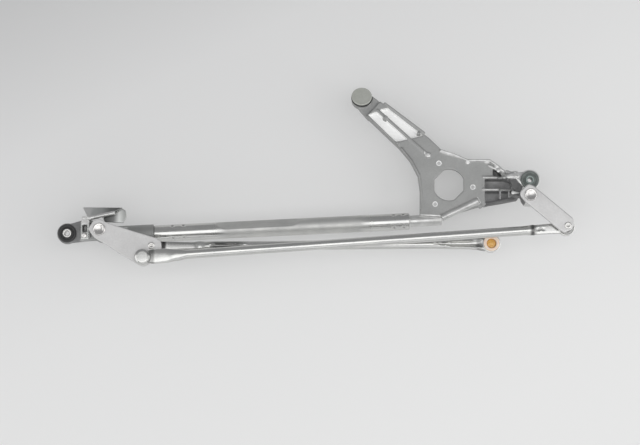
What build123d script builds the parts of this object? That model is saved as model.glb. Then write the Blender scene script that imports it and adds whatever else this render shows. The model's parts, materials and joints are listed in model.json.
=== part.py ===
from build123d import *
import os
from math import atan2, cos, degrees, hypot, radians, sin

os.makedirs("parts", exist_ok=True)

# Windshield wiper linkage with its frame, in millimetres, +Z up.
# The origin lies on the left wiper shaft, halfway along its threaded end. +X runs along the
# frame to the right wiper shaft and +Y runs away from the cranks' free ends. Both wiper
# shafts point down, and the cranks and links lie above the frame.

# ---- layout in plan ----
right_pivot = (559.0, 42.0)
left_crank_reach = 69.0
left_crank_angle = -33.3
right_crank_reach = 62.0
right_crank_angle = -40.2
drive_stud_reach = 71.2
drive_stud_angle = -17.4
link_length = 549.0
link_angle = 4.02
drive_link_length = 442.0
drive_link_angle = 0.5
left_eye = (-43.4, -3.1)
right_eye = (560.4, 65.2)
arm_eye = (342.0, 178.5)
motor_centre = (456.2, 62.3)
frame_start = (0.0, -4.7)
frame_slope = 2.85

# ---- heights ----
crank_mid = 72.0
crank_rise = 22.0
crank_t = 4.0
crank_end_r = 10.5
link_z = 83.0
drive_z = 62.0
frame_z = 38.5
plate_top = 49.5
plate_t = 6.0
skirt_bottom = 34.5
left_housing_bottom = 22.0
right_housing_bottom = 58.0
right_lift = 24.0

# ---- wiper shafts and their bearings ----
shaft_r = 6.0
thread_r = 4.0
thread_half = 6.0
knurl_top = 18.0
knurl_small_r = 5.0
knurl_teeth = 30
shank_r = 5.0
shaft_head_r = 8.2
shaft_head_h = 2.6
bearing_gap = 0.05
bush_r = 8.0
bush_flange_r = 10.0
bush_length = 12.0
bush_flange_t = 1.4
washer_r = 10.2
washer_t = 1.4
ring_r = 8.6
ring_t = 1.2
circlip_drop = 1.6
seal_section_r = 1.2
seal_groove_r = 5.2
left_housing_r = 11.5
right_housing_r = 10.4
running_gap = 0.2
seal_rise = bush_length + 2.5
housing_clear_r = 12.5

# ---- ball studs and sockets ----
ball_r = 6.0
loose_ball_r = 5.5
ball_gap = 0.25
stud_neck_r = 3.6
stud_shank_r = 3.5
stud_flange_r = 6.8
stud_flange_t = 1.5
stud_head_r = 4.6
stud_head_h = 1.2
cup_wall = 1.5
cup_depth = 13.9
cup_mouth = 5.4
socket_lip = 0.6
loose_bore_r = 8.0
free_bore_r = 6.25
free_bore_depth = 7.0
free_lip_h = 1.4
dish_depth = 2.4
dish_r = 4.0
grease_drop = 0.5

# ---- tubes ----
frame_tube_r = 11.0
frame_tube_wall = 1.5
frame_tube_ends = (70.0, 404.0)
pressed_span = (156.0, 256.0)
pressed_depth = 2.8
pressed_turns = (42, -138)
left_crimps = (93.5, 108.0)
right_crimps = (384.5, 397.0)
crimp_angles = (35, 145, 215, 325)
crimp_ball_r = 3.2
crimp_reach = frame_tube_r + 2.2
link_tube_r = 6.0
link_tube_wall = 1.2

# ---- rubber mounts ----
grommet_r = 12.0
grommet_waist_r = 8.6
grommet_flange_t = 3.0
sleeve_r = 5.6
sleeve_bore_r = 3.3
eye_r = 13.4
eye_t = 8.0
arm_disc_r = 13.5
arm_tilt = 20.0
arm_eye_z = 37.0
left_eye_z = 52.0
right_eye_z = 66.0

# ---- stay on the left housing ----
stay_z = 60.0
stay_t = 1.6
stay_ridge_z = 66.0
stay_foot_z = 54.0
stay_strap = [(-25.0, -11.5), (-15.0, -11.5), (-14.0, 8.0), (-14.0, 18.4), (-24.0, 18.4), (-25.2, 10.0)]
stay_window_centre = (-20.1, 3.2)
stay_window_size = (6.2, 9.4)
pad_pocket_size = (5.4, 8.6)
pad_pocket_depth = 9.0
pad_top = 60.0
stay_riser = ((-23.2, 17.6), (-15.2, 17.6))
stay_web = ((-15.2, 16.4), (17.6, 23.1))
stay_band = [(-16.2, 17.8), (18.5, 24.9), (18.5, 22.6), (-15.8, 15.2)]
stay_ridge = Vector(-16.0, 17.5, stay_ridge_z)
stay_ridge_dir = Vector(0.9795, 0.2016, 0)
stay_wing_normal = Vector(-0.0761, 0.3698, 0.926)
stay_wing = [(-0.5, -0.4), (35.2, -0.4), (46.3, 3.3), (-4.5, 15.9)]
stay_foot = [(-1.3, 22.8), (27.4, 30.4), (32.4, 27.0), (33.6, 18.5), (30.0, 11.2), (5.4, 12.3)]
stay_lip = ((6.2, 13.1), (28.6, 12.0))
stay_lip_drop = 3.0
stay_rivet = (-20.9, -6.0)
stay_rivet_r = 2.2
stay_rivet_depth = 6.0

# ---- motor flange ----
motor_bolt_circle_r = 31.5
motor_bolt_r = 3.3
motor_bolt_start = -5.6

left_crank_z = crank_mid
right_crank_z = crank_mid + crank_rise


def polar_point(centre, reach, angle):
    return (centre[0] + reach * cos(radians(angle)), centre[1] + reach * sin(radians(angle)))


link_stud = polar_point((0, 0), left_crank_reach, left_crank_angle)
drive_stud = polar_point((0, 0), drive_stud_reach, drive_stud_angle)
loose_stud = polar_point(right_pivot, right_crank_reach, right_crank_angle)


def upright(centre):
    """The vertical drawing plane through a centre: sketch X is radius, sketch Y is height."""
    return Plane(origin=(centre[0], centre[1], 0), x_dir=(1, 0, 0), z_dir=(0, -1, 0))


def vertical_axis(centre):
    return Axis((centre[0], centre[1], 0), (0, 0, 1))


def turned(centre, outline):
    """A solid of revolution from (radius, height) points about a vertical axis."""
    with BuildPart() as body:
        with BuildSketch(upright(centre)):
            with BuildLine():
                Polyline(*outline, close=True)
            make_face()
        revolve(axis=vertical_axis(centre))
    return body


def ring(centre, inner_r, outer_r, bottom, top):
    """A plain washer or sleeve about a vertical axis."""
    return turned(centre, [(inner_r, bottom), (outer_r, bottom), (outer_r, top), (inner_r, top)])


def save(piece, name):
    piece.part.label = name
    export_step(piece.part, f"parts/{name}.step")


# ---- wiper shafts, bushes, washers, rings and seals ----

def make_shaft(centre, crank_z, lift, base):
    """A wiper shaft: threaded end, serrated taper, journal, shoulder and riveted head."""
    under = crank_z - crank_t / 2
    over = crank_z + crank_t / 2
    groove_top = base - circlip_drop
    seal_z = base + seal_rise
    outline = [
        (0, lift - thread_half),
        (thread_r - 0.8, lift - thread_half),
        (thread_r, lift + 0.8 - thread_half),
        (thread_r, lift + thread_half),
        (knurl_small_r, lift + thread_half),
        (shaft_r, lift + knurl_top),
        (shaft_r, groove_top - ring_t),
        (shaft_r - 0.7, groove_top - ring_t),
        (shaft_r - 0.7, groove_top),
        (shaft_r, groove_top),
        (shaft_r, seal_z - seal_section_r),
        (seal_groove_r, seal_z - seal_section_r),
        (seal_groove_r, seal_z + seal_section_r),
        (shaft_r, seal_z + seal_section_r),
        (shaft_r, under - 1.0),
        (shaft_r + 3.0, under - 1.0),
        (shaft_r + 3.0, under),
        (shank_r, under),
        (shank_r, over),
        (shaft_head_r, over),
        (shaft_head_r - 1.2, over + shaft_head_h * 0.6),
        (shaft_head_r - 3.5, over + shaft_head_h),
        (0, over + shaft_head_h),
    ]
    with BuildPart() as shaft:
        add(turned(centre, outline).part)
        with BuildSketch(Plane.XY.offset(lift + thread_half)):
            with Locations(centre):
                with PolarLocations(shaft_r, knurl_teeth):
                    RegularPolygon(radius=0.75, side_count=3, rotation=180)
        extrude(amount=knurl_top - thread_half - 1.0, mode=Mode.SUBTRACT)
    return shaft


def make_bush(centre, bottom, flange_up):
    """A flanged plain bearing pressed into one end of a pivot housing."""
    bore = shaft_r + bearing_gap
    top = bottom + bush_length
    if flange_up:
        outline = [(bore, bottom), (bush_r, bottom), (bush_r, top), (bush_flange_r, top),
                   (bush_flange_r, top + bush_flange_t), (bore, top + bush_flange_t)]
    else:
        outline = [(bore, bottom), (bush_r, bottom), (bush_r, top), (bore, top)]
    return turned(centre, outline)


def make_circlip(centre, base):
    """An open retaining ring in the shaft's groove."""
    top = base - circlip_drop
    with BuildPart() as clip:
        add(ring(centre, shaft_r - 0.7, ring_r, top - ring_t, top).part)
        with BuildSketch(Plane.XY.offset(top - ring_t)):
            with Locations((centre[0], centre[1] - ring_r)):
                Rectangle(4.2, 2 * ring_r - 3.0)
        extrude(amount=ring_t, mode=Mode.SUBTRACT)
    return clip


def make_seal(centre, base):
    """A rubber O-ring in the shaft's groove, inside the housing."""
    seal_z = base + seal_rise
    with BuildPart() as seal:
        with BuildSketch(upright(centre)):
            with Locations((seal_groove_r + seal_section_r, seal_z)):
                Circle(seal_section_r)
        revolve(axis=vertical_axis(centre))
    return seal


pivots = {
    "left": ((0.0, 0.0), left_crank_z, 0.0, left_housing_bottom),
    "right": (right_pivot, right_crank_z, right_lift, right_housing_bottom),
}
for side, (centre, crank_z, lift, base) in pivots.items():
    housing_top = crank_z - crank_t / 2 - 4.0
    washer_top = crank_z - crank_t / 2 - 1.0
    low_top = base - running_gap
    save(make_shaft(centre, crank_z, lift, base), f"{side}_wiper_shaft")
    save(make_bush(centre, housing_top - bush_length, True), f"{side}_upper_bush")
    save(make_bush(centre, base, False), f"{side}_lower_bush")
    save(ring(centre, shaft_r, washer_r, washer_top - washer_t, washer_top), f"{side}_thrust_washer")
    save(ring(centre, shaft_r, washer_r - 1.0, low_top - washer_t, low_top), f"{side}_end_washer")
    save(make_circlip(centre, base), f"{side}_retaining_ring")
    save(make_seal(centre, base), f"{side}_shaft_seal")

# ---- cranks ----

def make_left_crank():
    """A wedge-shaped plate lever: pivot end with cut corners, wide end with two ball studs."""
    with BuildPart() as crank:
        with BuildSketch(Plane.XY.offset(crank_mid - crank_t / 2)):
            with BuildLine():
                Polyline((-14.5, 0.7), (-7.5, 12.0), (0.5, 13.2), (12.0, 7.8), (50.0, -4.2),
                         (73.0, -11.0), (80.3, -16.0), (81.4, -25.5), (65.5, -45.0),
                         (52.2, -46.8), (27.4, -32.2), (5.2, -17.6), (-6.8, -10.8), close=True)
            make_face()
            fillet(vertices().group_by(Axis.X)[0], 1.5)
            fillet(vertices().filter_by(lambda v: v.X > 70), 3.0)
            with Locations(link_stud):
                Circle(crank_end_r)
        extrude(amount=crank_t)
        chamfer(faces().sort_by(Axis.Z)[-1].edges(), 0.4)
        with Locations((0, 0, 0)):
            Cylinder(shank_r, 200, mode=Mode.SUBTRACT)
        with Locations(link_stud, drive_stud):
            Cylinder(stud_shank_r, 200, mode=Mode.SUBTRACT)
    return crank


def make_right_crank():
    """A parallel-sided plate lever with cut corners at both ends, and one ball stud."""
    length = right_crank_reach
    half = 11.6
    frame = Plane(origin=(right_pivot[0], right_pivot[1], right_crank_z - crank_t / 2),
                  x_dir=(cos(radians(right_crank_angle)), sin(radians(right_crank_angle)), 0),
                  z_dir=(0, 0, 1))
    with BuildPart() as crank:
        with BuildSketch(frame):
            with BuildLine():
                Polyline((-11.5, half - 2.5), (-5.5, half), (length - 0.5, half), (length + 6.0, 5.5),
                         (length + 6.6, -2.0), (length + 2.5, -half + 1.0), (length - 6.0, -half),
                         (0.0, -half), (-10.0, -half + 2.0), (-13.5, -5.0), close=True)
            make_face()
            fillet(vertices(), 1.6)
        extrude(amount=crank_t)
        chamfer(faces().sort_by(Axis.Z)[-1].edges(), 0.4)
        with Locations(Location((right_pivot[0], right_pivot[1], 0))):
            Cylinder(shank_r, 300, mode=Mode.SUBTRACT)
        with Locations(Location((loose_stud[0], loose_stud[1], 0))):
            Cylinder(stud_shank_r, 300, mode=Mode.SUBTRACT)
    return crank


save(make_left_crank(), "left_crank")
save(make_right_crank(), "right_crank")

# ---- ball studs ----

def make_stud(centre, plate_z, ball_z, radius, neck_r):
    """A ball stud riveted through a plate; the ball lies above or below the plate."""
    way = 1 if ball_z > plate_z else -1
    near = plate_z + way * crank_t / 2
    away = plate_z - way * crank_t / 2
    outline = [
        (0, away - way * stud_head_h * 0.5),
        (1.4, away - way * stud_head_h),
        (stud_head_r - 1.0, away - way * stud_head_h),
        (stud_head_r, away - way * 0.3),
        (stud_head_r, away),
        (stud_shank_r, away),
        (stud_shank_r, near),
        (stud_flange_r, near),
        (stud_flange_r, near + way * stud_flange_t),
        (neck_r, near + way * stud_flange_t),
        (neck_r, ball_z),
        (0, ball_z),
    ]
    with BuildPart() as stud:
        add(turned(centre, outline).part)
        with Locations(Location((centre[0], centre[1], ball_z))):
            Sphere(radius)
    return stud


save(make_stud(link_stud, left_crank_z, link_z, ball_r, stud_neck_r), "link_ball_stud")
save(make_stud(drive_stud, left_crank_z, drive_z, ball_r, stud_neck_r), "drive_ball_stud")
save(make_stud(loose_stud, right_crank_z, link_z, loose_ball_r, stud_neck_r - 0.4), "right_ball_stud")

# ---- links: frames with X along the link, and sections across it ----

def link_frame(start, angle, height):
    return Plane(origin=(start[0], start[1], height),
                 x_dir=(cos(radians(angle)), sin(radians(angle)), 0), z_dir=(0, 0, 1))


def section(frame, distance, drop=0.0):
    """The plane across a link at a distance along it; sketch X is sideways, sketch Y is up."""
    origin = frame.origin + frame.x_dir * distance - frame.z_dir * drop
    return Plane(origin=origin, x_dir=frame.y_dir, z_dir=frame.x_dir)


def loft_ellipses(frame, stations):
    """A pressed neck through ellipses, each given as (distance, half width, half height)."""
    with BuildPart() as neck:
        for distance, half_width, half_height in stations:
            with BuildSketch(section(frame, distance)):
                Ellipse(half_width, half_height)
        loft()
    return neck


def cup_profile(outer_r, way):
    """Radius and height points of a pressed cup about its ball centre; way is the mouth's side."""
    inner_r = outer_r - cup_wall
    floor = -way * (cup_depth - cup_mouth)
    return [
        (0, floor), (outer_r - 2.2, floor), (outer_r - 0.7, floor + way * 0.7),
        (outer_r, floor + way * 2.2), (outer_r, way * cup_mouth), (inner_r, way * cup_mouth),
        (inner_r, floor + way * cup_wall), (0, floor + way * cup_wall),
    ]


def make_cup(centre, height, outer_r, way):
    return turned(centre, [(r, height + z) for r, z in cup_profile(outer_r, way)])


link_cup_r = 10.6
loose_cup_r = 10.4
drive_cup_r = 10.4
free_cup_r = 11.4
link_far = polar_point(link_stud, link_length, link_angle)
drive_far = polar_point(drive_stud, drive_link_length, drive_link_angle)


def make_connecting_link():
    """The long link: a tube with a pressed neck and a ball cup at each end."""
    frame = link_frame(link_stud, link_angle, link_z)
    tube_start = 61.0
    tube_end = link_length - 42.0
    with BuildPart() as link:
        with BuildSketch(section(frame, tube_start)):
            Circle(link_tube_r)
            Circle(link_tube_r - link_tube_wall, mode=Mode.SUBTRACT)
        extrude(amount=tube_end - tube_start)
        add(loft_ellipses(frame, [(4.0, 7.5, 3.0), (26.0, 9.6, 3.2), (40.0, 8.6, 4.2),
                                  (tube_start, link_tube_r, link_tube_r)]).part)
        with BuildSketch(section(frame, tube_end - 1.5)):
            Circle(link_tube_r + 0.7)
        extrude(amount=4.5)
        with BuildSketch(section(frame, tube_end)):
            RectangleRounded(14.2, 4.4, 1.2)
        extrude(amount=link_length - tube_end)
        with BuildSketch(section(frame, tube_end - 20.0)):
            RectangleRounded(link_tube_r, link_tube_r, 1.2)
        extrude(amount=22.0)
        dimple = frame.origin + frame.x_dir * (tube_end + 12.0) + frame.z_dir * 3.6
        with Locations(Location(dimple)):
            Sphere(2.4, mode=Mode.SUBTRACT)
        for centre, outer_r, way in ((link_stud, link_cup_r, -1), (link_far, loose_cup_r, 1)):
            with Locations(Location((centre[0], centre[1], link_z))):
                Cylinder(outer_r - 0.2, 2 * cup_mouth, mode=Mode.SUBTRACT)
            add(make_cup(centre, link_z, outer_r, way).part)
    return link


def make_drive_link():
    """The motor's link: a tube with a pressed neck and a ball cup, both cups opening up."""
    frame = link_frame(drive_stud, drive_link_angle, drive_z)
    tube_start = 66.0
    tube_end = drive_link_length - 68.0
    neck_end = drive_link_length - 4.0
    with BuildPart() as link:
        with BuildSketch(section(frame, tube_start)):
            Circle(link_tube_r)
            Circle(link_tube_r - link_tube_wall, mode=Mode.SUBTRACT)
        extrude(amount=tube_end - tube_start)
        add(loft_ellipses(frame, [(4.0, 7.0, 3.0), (36.0, 7.4, 3.4),
                                  (tube_start, link_tube_r, link_tube_r)]).part)
        add(loft_ellipses(frame, [(tube_end, link_tube_r, link_tube_r), (tube_end + 22.0, 7.6, 4.0),
                                  (neck_end, 7.0, 3.6)]).part)
        groove_start = frame.origin + frame.x_dir * (tube_end + 32.0) + frame.z_dir * 5.2
        groove = Plane(origin=groove_start, x_dir=frame.x_dir, z_dir=frame.z_dir)
        with BuildSketch(groove):
            SlotOverall(46.0, 6.0)
        extrude(amount=-3.6, mode=Mode.SUBTRACT)
        for centre, outer_r in ((drive_stud, drive_cup_r), (drive_far, free_cup_r)):
            with Locations(Location((centre[0], centre[1], drive_z))):
                Cylinder(outer_r - 0.2, 2 * cup_mouth, mode=Mode.SUBTRACT)
            add(make_cup(centre, drive_z, outer_r, 1).part)
    return link


save(make_connecting_link(), "connecting_link")
save(make_drive_link(), "drive_link")

# ---- plastic sockets inside the cups, and the grease in the free one ----

def make_snap_socket(centre, height, cup_r, way):
    """A plastic socket that holds a ball: a spherical seat behind a narrower mouth."""
    outer_r = cup_r - cup_wall
    back = -way * (cup_depth - cup_mouth - cup_wall)
    lip = way * (cup_mouth + socket_lip)
    mouth_r = ball_r - 0.9
    outline = [(0, back), (outer_r, back), (outer_r, way * cup_mouth), (outer_r - 0.4, lip),
               (mouth_r + 0.6, lip), (mouth_r, lip - way * 1.0), (mouth_r, 0), (0, 0)]
    with BuildPart() as socket:
        add(turned(centre, [(r, height + z) for r, z in outline]).part)
        with Locations(Location((centre[0], centre[1], height))):
            Sphere(ball_r + ball_gap, mode=Mode.SUBTRACT)
        with Locations(Location((centre[0], centre[1], height + way * cup_mouth / 2))):
            Cylinder(mouth_r, cup_mouth + 2.0, mode=Mode.SUBTRACT)
    return socket


def make_straight_socket(centre, height, cup_r, lip_r, bore):
    """A plastic socket with a lip above its bore; the bore is given as radius and height points."""
    outer_r = cup_r - cup_wall
    back = -(cup_depth - cup_mouth - cup_wall)
    lip = cup_mouth + socket_lip
    outline = [(0, back), (outer_r, back), (outer_r, cup_mouth), (outer_r - 0.4, lip), (lip_r, lip),
               (lip_r, lip - free_lip_h)] + bore
    return turned(centre, [(r, height + z) for r, z in outline])


save(make_snap_socket(link_stud, link_z, link_cup_r, -1), "link_left_socket")
save(make_snap_socket(drive_stud, drive_z, drive_cup_r, 1), "drive_left_socket")
bore_top = cup_mouth + socket_lip - free_lip_h
loose_floor = -loose_ball_r - ball_gap
loose_bore = [(loose_bore_r, bore_top), (loose_bore_r, loose_floor), (0, loose_floor)]
loose_lip_r = loose_bore_r - 1.6
save(make_straight_socket(link_far, link_z, loose_cup_r, loose_lip_r, loose_bore), "link_right_socket")

free_floor = bore_top - free_bore_depth
dish_floor = free_floor - dish_depth
free_bore = [(free_bore_r, bore_top), (free_bore_r, free_floor), (dish_r, dish_floor), (0, dish_floor)]
free_lip_r = free_bore_r + 0.7
save(make_straight_socket(drive_far, drive_z, free_cup_r, free_lip_r, free_bore), "drive_free_socket")

grease_r = free_bore_r - (free_bore_r - dish_r) * grease_drop / dish_depth
grease = [(0, dish_floor), (dish_r, dish_floor), (grease_r, free_floor - grease_drop),
          (0, free_floor - grease_drop)]
save(turned(drive_far, [(r, drive_z + z) for r, z in grease]), "socket_grease")

# ---- frame tube ----
frame_line = Plane(origin=(frame_start[0], frame_start[1], frame_z),
                   x_dir=(cos(radians(frame_slope)), sin(radians(frame_slope)), 0), z_dir=(0, 0, 1))
spigot_r = frame_tube_r - frame_tube_wall


def pressed_bar(radius, flat):
    """A round bar whose middle is pressed flat on two opposite sides."""
    start, end = frame_tube_ends
    ramp = 10.0
    low, high = pressed_span
    with BuildPart() as bar:
        with BuildSketch(section(frame_line, start)):
            Circle(radius)
        extrude(amount=end - start)
        reach = radius + 1.0
        station = section(frame_line, low)
        for turn in pressed_turns:
            outward = station.y_dir * cos(radians(turn)) + station.x_dir * sin(radians(turn))
            facet = Plane(origin=station.origin, x_dir=frame_line.x_dir,
                          z_dir=frame_line.x_dir.cross(outward))
            with BuildSketch(facet):
                with BuildLine():
                    Polyline((0, reach), (ramp, flat), (high - low - ramp, flat),
                             (high - low, reach), close=True)
                make_face()
            extrude(amount=radius + 2.0, both=True, mode=Mode.SUBTRACT)
    return bar


def crimps(distances):
    """The dimples that lock the tube onto a spigot, as balls to cut away."""
    with BuildPart() as balls:
        for distance in distances:
            station = section(frame_line, distance)
            for angle in crimp_angles:
                spot = (station.origin + station.x_dir * (crimp_reach * cos(radians(angle)))
                        + station.y_dir * (crimp_reach * sin(radians(angle))))
                with Locations(Location(spot)):
                    Sphere(crimp_ball_r)
    return balls.part


def make_frame_tube():
    """The frame tube, crimped at both ends and pressed flat in the middle."""
    with BuildPart() as tube:
        add(pressed_bar(frame_tube_r, frame_tube_r - pressed_depth).part)
        add(pressed_bar(spigot_r, spigot_r - pressed_depth).part, mode=Mode.SUBTRACT)
        add(crimps(left_crimps + right_crimps), mode=Mode.SUBTRACT)
    return tube


save(make_frame_tube(), "frame_tube")

eye_planes = {
    "left": Plane(origin=(left_eye[0], left_eye[1], left_eye_z)),
    "right": Plane(origin=(right_eye[0], right_eye[1], right_eye_z)),
    "arm": Plane(origin=(arm_eye[0], arm_eye[1], arm_eye_z), x_dir=(1, 0, 0),
                 z_dir=(0, sin(radians(arm_tilt)), cos(radians(arm_tilt)))),
}


def flange_room(plane, top_r):
    """The space that a grommet's two flanges take below and above an eye."""
    rooms = []
    for way, radius in ((-1, grommet_r + 0.5), (1, top_r + 0.5)):
        with BuildPart() as room:
            with BuildSketch(plane.offset(way * eye_t / 2)):
                Circle(radius)
            extrude(amount=way * (grommet_flange_t + 9.0))
        rooms.append(room.part)
    return rooms


# ---- left pivot housing with its ear, spigot and strap pad ----

def make_left_housing():
    top = left_crank_z - crank_t / 2 - 4.0
    ear_low = left_eye_z - eye_t / 2
    with BuildPart() as housing:
        with BuildSketch(Plane.XY.offset(left_housing_bottom)):
            Circle(left_housing_r)
        extrude(amount=top - left_housing_bottom, taper=-0.6)
        with BuildSketch(Plane.XY.offset(ear_low)):
            with Locations(left_eye):
                Circle(eye_r)
            with BuildLine():
                Polyline((left_eye[0] + 3.0, left_eye[1] + 12.6), (-20.0, 15.5), (2.0, 12.0),
                         (2.0, -11.5), (-20.0, -13.0), (left_eye[0] + 1.0, left_eye[1] - 12.6),
                         close=True)
            make_face()
        extrude(amount=eye_t)
        with BuildSketch(Plane.XY.offset(ear_low)):
            with Locations((-19.5, 2.0)):
                RectangleRounded(13.0, 25.0, 3.0)
        extrude(amount=pad_top - ear_low)
        for offset_y in (-8.0, 8.0):
            with BuildSketch(Plane(origin=(0, offset_y, 0), x_dir=(1, 0, 0), z_dir=(0, -1, 0))):
                with BuildLine():
                    Polyline((-36.0, ear_low + 1.0), (0, ear_low + 1.0), (0, left_housing_bottom + 6.0),
                             (-9.0, left_housing_bottom + 6.0), close=True)
                make_face()
            extrude(amount=1.6, both=True)
        with BuildSketch(section(frame_line, 8.0)):
            Circle(spigot_r)
        extrude(amount=104.0)
        with BuildSketch(section(frame_line, 8.0)):
            Circle(frame_tube_r + 1.5)
        extrude(amount=frame_tube_ends[0] - 9.0)
        for side in (-1, 1):
            with BuildSketch(Plane(origin=(0, side * 7.0 - 1.5, 0), x_dir=(1, 0, 0), z_dir=(0, -1, 0))):
                with BuildLine():
                    Polyline((0, frame_z), (52.0, frame_z), (30.0, frame_z + 13.0), (0, top - 5.0),
                             close=True)
                make_face()
            extrude(amount=1.5, both=True)
        with Locations((0, 0, 0)):
            Cylinder(bush_r, 300, mode=Mode.SUBTRACT)
        with Locations(Location((left_eye[0], left_eye[1], 0))):
            Cylinder(grommet_waist_r, 300, mode=Mode.SUBTRACT)
        add(flange_room(eye_planes["left"], grommet_r), mode=Mode.SUBTRACT)
        with Locations(Location((stay_rivet[0], stay_rivet[1], stay_z))):
            Cylinder(stay_rivet_r, 2 * stay_rivet_depth, mode=Mode.SUBTRACT)
        with BuildSketch(Plane.XY.offset(pad_top)):
            with Locations(stay_window_centre):
                RectangleRounded(*pad_pocket_size, 1.0)
        extrude(amount=-pad_pocket_depth, mode=Mode.SUBTRACT)
        add(crimps(left_crimps), mode=Mode.SUBTRACT)
    return housing


save(make_left_housing(), "left_pivot_housing")

def wall(start, end, width, bottom, top):
    """An upright rib between two points in plan, as a solid."""
    length = hypot(end[0] - start[0], end[1] - start[1])
    angle = degrees(atan2(end[1] - start[1], end[0] - start[0]))
    frame = Plane(origin=(start[0], start[1], bottom),
                  x_dir=(cos(radians(angle)), sin(radians(angle)), 0), z_dir=(0, 0, 1))
    with BuildPart() as rib:
        with BuildSketch(frame):
            with Locations((length / 2, 0)):
                SlotOverall(length + width, width)
        extrude(amount=top - bottom)
    return rib


# ---- folded sheet stay on the left housing, and its rivet ----


def make_left_stay():
    """A folded steel stay: a strap on the housing's pad, a sloping wing and a foot below it."""
    with BuildPart() as stay:
        with BuildSketch(Plane.XY.offset(stay_z)):
            with BuildLine():
                Polyline(*stay_strap, close=True)
            make_face()
            with Locations(stay_window_centre):
                Rectangle(*stay_window_size, mode=Mode.SUBTRACT)
        extrude(amount=stay_t)
        # the riser, the web and the narrow band along the ridge
        add(wall(stay_riser[0], stay_riser[1], stay_t, stay_z, stay_ridge_z - stay_t / 2).part)
        add(wall(stay_web[0], stay_web[1], stay_t, stay_foot_z, stay_ridge_z).part)
        with BuildSketch(Plane.XY.offset(stay_ridge_z - stay_t)):
            with BuildLine():
                Polyline(*stay_band, close=True)
            make_face()
        extrude(amount=stay_t)
        # the sloping wing
        with BuildSketch(Plane(origin=stay_ridge, x_dir=stay_ridge_dir, z_dir=stay_wing_normal)):
            with BuildLine():
                Polyline(*stay_wing, close=True)
            make_face()
        extrude(amount=-stay_t)
        # the foot with its edge turned down
        with BuildSketch(Plane.XY.offset(stay_foot_z)):
            with BuildLine():
                Polyline(*stay_foot, close=True)
            make_face()
            fillet(vertices().filter_by(lambda v: v.X > 25), 2.0)
        extrude(amount=stay_t)
        add(wall(stay_lip[0], stay_lip[1], stay_t, stay_foot_z - stay_lip_drop, stay_foot_z + stay_t).part)
        with Locations(Location((stay_rivet[0], stay_rivet[1], stay_z))):
            Cylinder(stay_rivet_r, 20, mode=Mode.SUBTRACT)
    return stay


save(make_left_stay(), "left_stay")
stay_top = stay_z + stay_t
save(turned(stay_rivet, [(0, stay_z - stay_rivet_depth), (stay_rivet_r, stay_z - stay_rivet_depth),
                         (stay_rivet_r, stay_top), (4.0, stay_top), (3.4, stay_top + 1.6),
                         (1.6, stay_top + 2.2), (0, stay_top + 2.2)]), "stay_rivet")

# ---- motor bracket: one casting with the motor plate, arm, right section and pivot housing ----
plate_outline = [
    (417.8, 21.5), (418.2, 55.0), (415.5, 75.0), (405.1, 95.0), (391.0, 112.0), (386.3, 116.4),
    (345.5, 156.0), (356.7, 181.3), (430.3, 125.0), (446.0, 109.7), (463.1, 104.4), (480.7, 96.4),
    (510.3, 96.4), (522.1, 88.4), (531.2, 78.4), (549.0, 76.0), (549.0, 44.5), (522.8, 39.2),
    (503.1, 34.4), (497.0, 34.5), (446.0, 19.5),
]
box_outline = [(500.5, 35.5), (522.8, 39.2), (556.0, 45.5), (556.0, 68.0), (531.2, 78.4),
               (522.1, 88.4), (510.3, 96.4), (500.5, 96.4)]
plate_ribs = [
    ((504.0, 71.6), (519.0, 71.6), 2.6, 1.8),
    ((503.5, 55.6), (519.0, 55.6), 2.6, 1.8),
    ((446.5, 108.0), (463.0, 102.8), 2.6, 1.8),
    ((463.0, 102.8), (481.0, 94.8), 2.6, 1.8),
    ((484.0, 95.0), (508.0, 95.0), 2.6, 1.8),
    ((510.0, 94.6), (521.0, 87.0), 3.0, 1.8),
    ((521.0, 87.0), (531.0, 77.4), 3.0, 1.8),
]
edge_bar_start = (446.5, 18.4)
edge_bar_length = 53.0
edge_bar_angle = 25.5
edge_bar_r = 4.4
edge_bar_z = 48.5
left_rim = [(419.0, 30.0), (419.6, 54.0), (417.2, 74.5), (407.0, 94.0), (394.0, 110.5)]
arm_rib = [(363.0, 161.5), (428.8, 101.7)]
arm_pockets = [
    [(350.4, 155.8), (361.8, 160.1), (402.6, 123.0), (386.7, 119.6)],
    [(365.6, 162.5), (375.8, 165.0), (422.8, 127.8), (407.4, 124.2)],
]
arm_floor = [(349.5, 156.5), (370.0, 169.5), (424.0, 127.5), (388.5, 117.0)]
box_pockets = [
    [(503.5, 39.0), (522.0, 42.4), (545.0, 47.0), (545.0, 54.0), (503.5, 54.0)],
    [(503.5, 57.2), (538.0, 57.2), (538.0, 66.5), (529.5, 70.0), (503.5, 70.0)],
    [(514.0, 73.2), (527.0, 73.2), (520.0, 83.0), (514.0, 87.0)],
]
arm_dir = Vector(cos(radians(-42.5)), sin(radians(-42.5)), 0)
arm_plane = Plane(origin=(arm_eye[0], arm_eye[1], 0), x_dir=arm_dir, z_dir=(0, 0, 1))
arm_tip = eye_planes["arm"]


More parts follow.
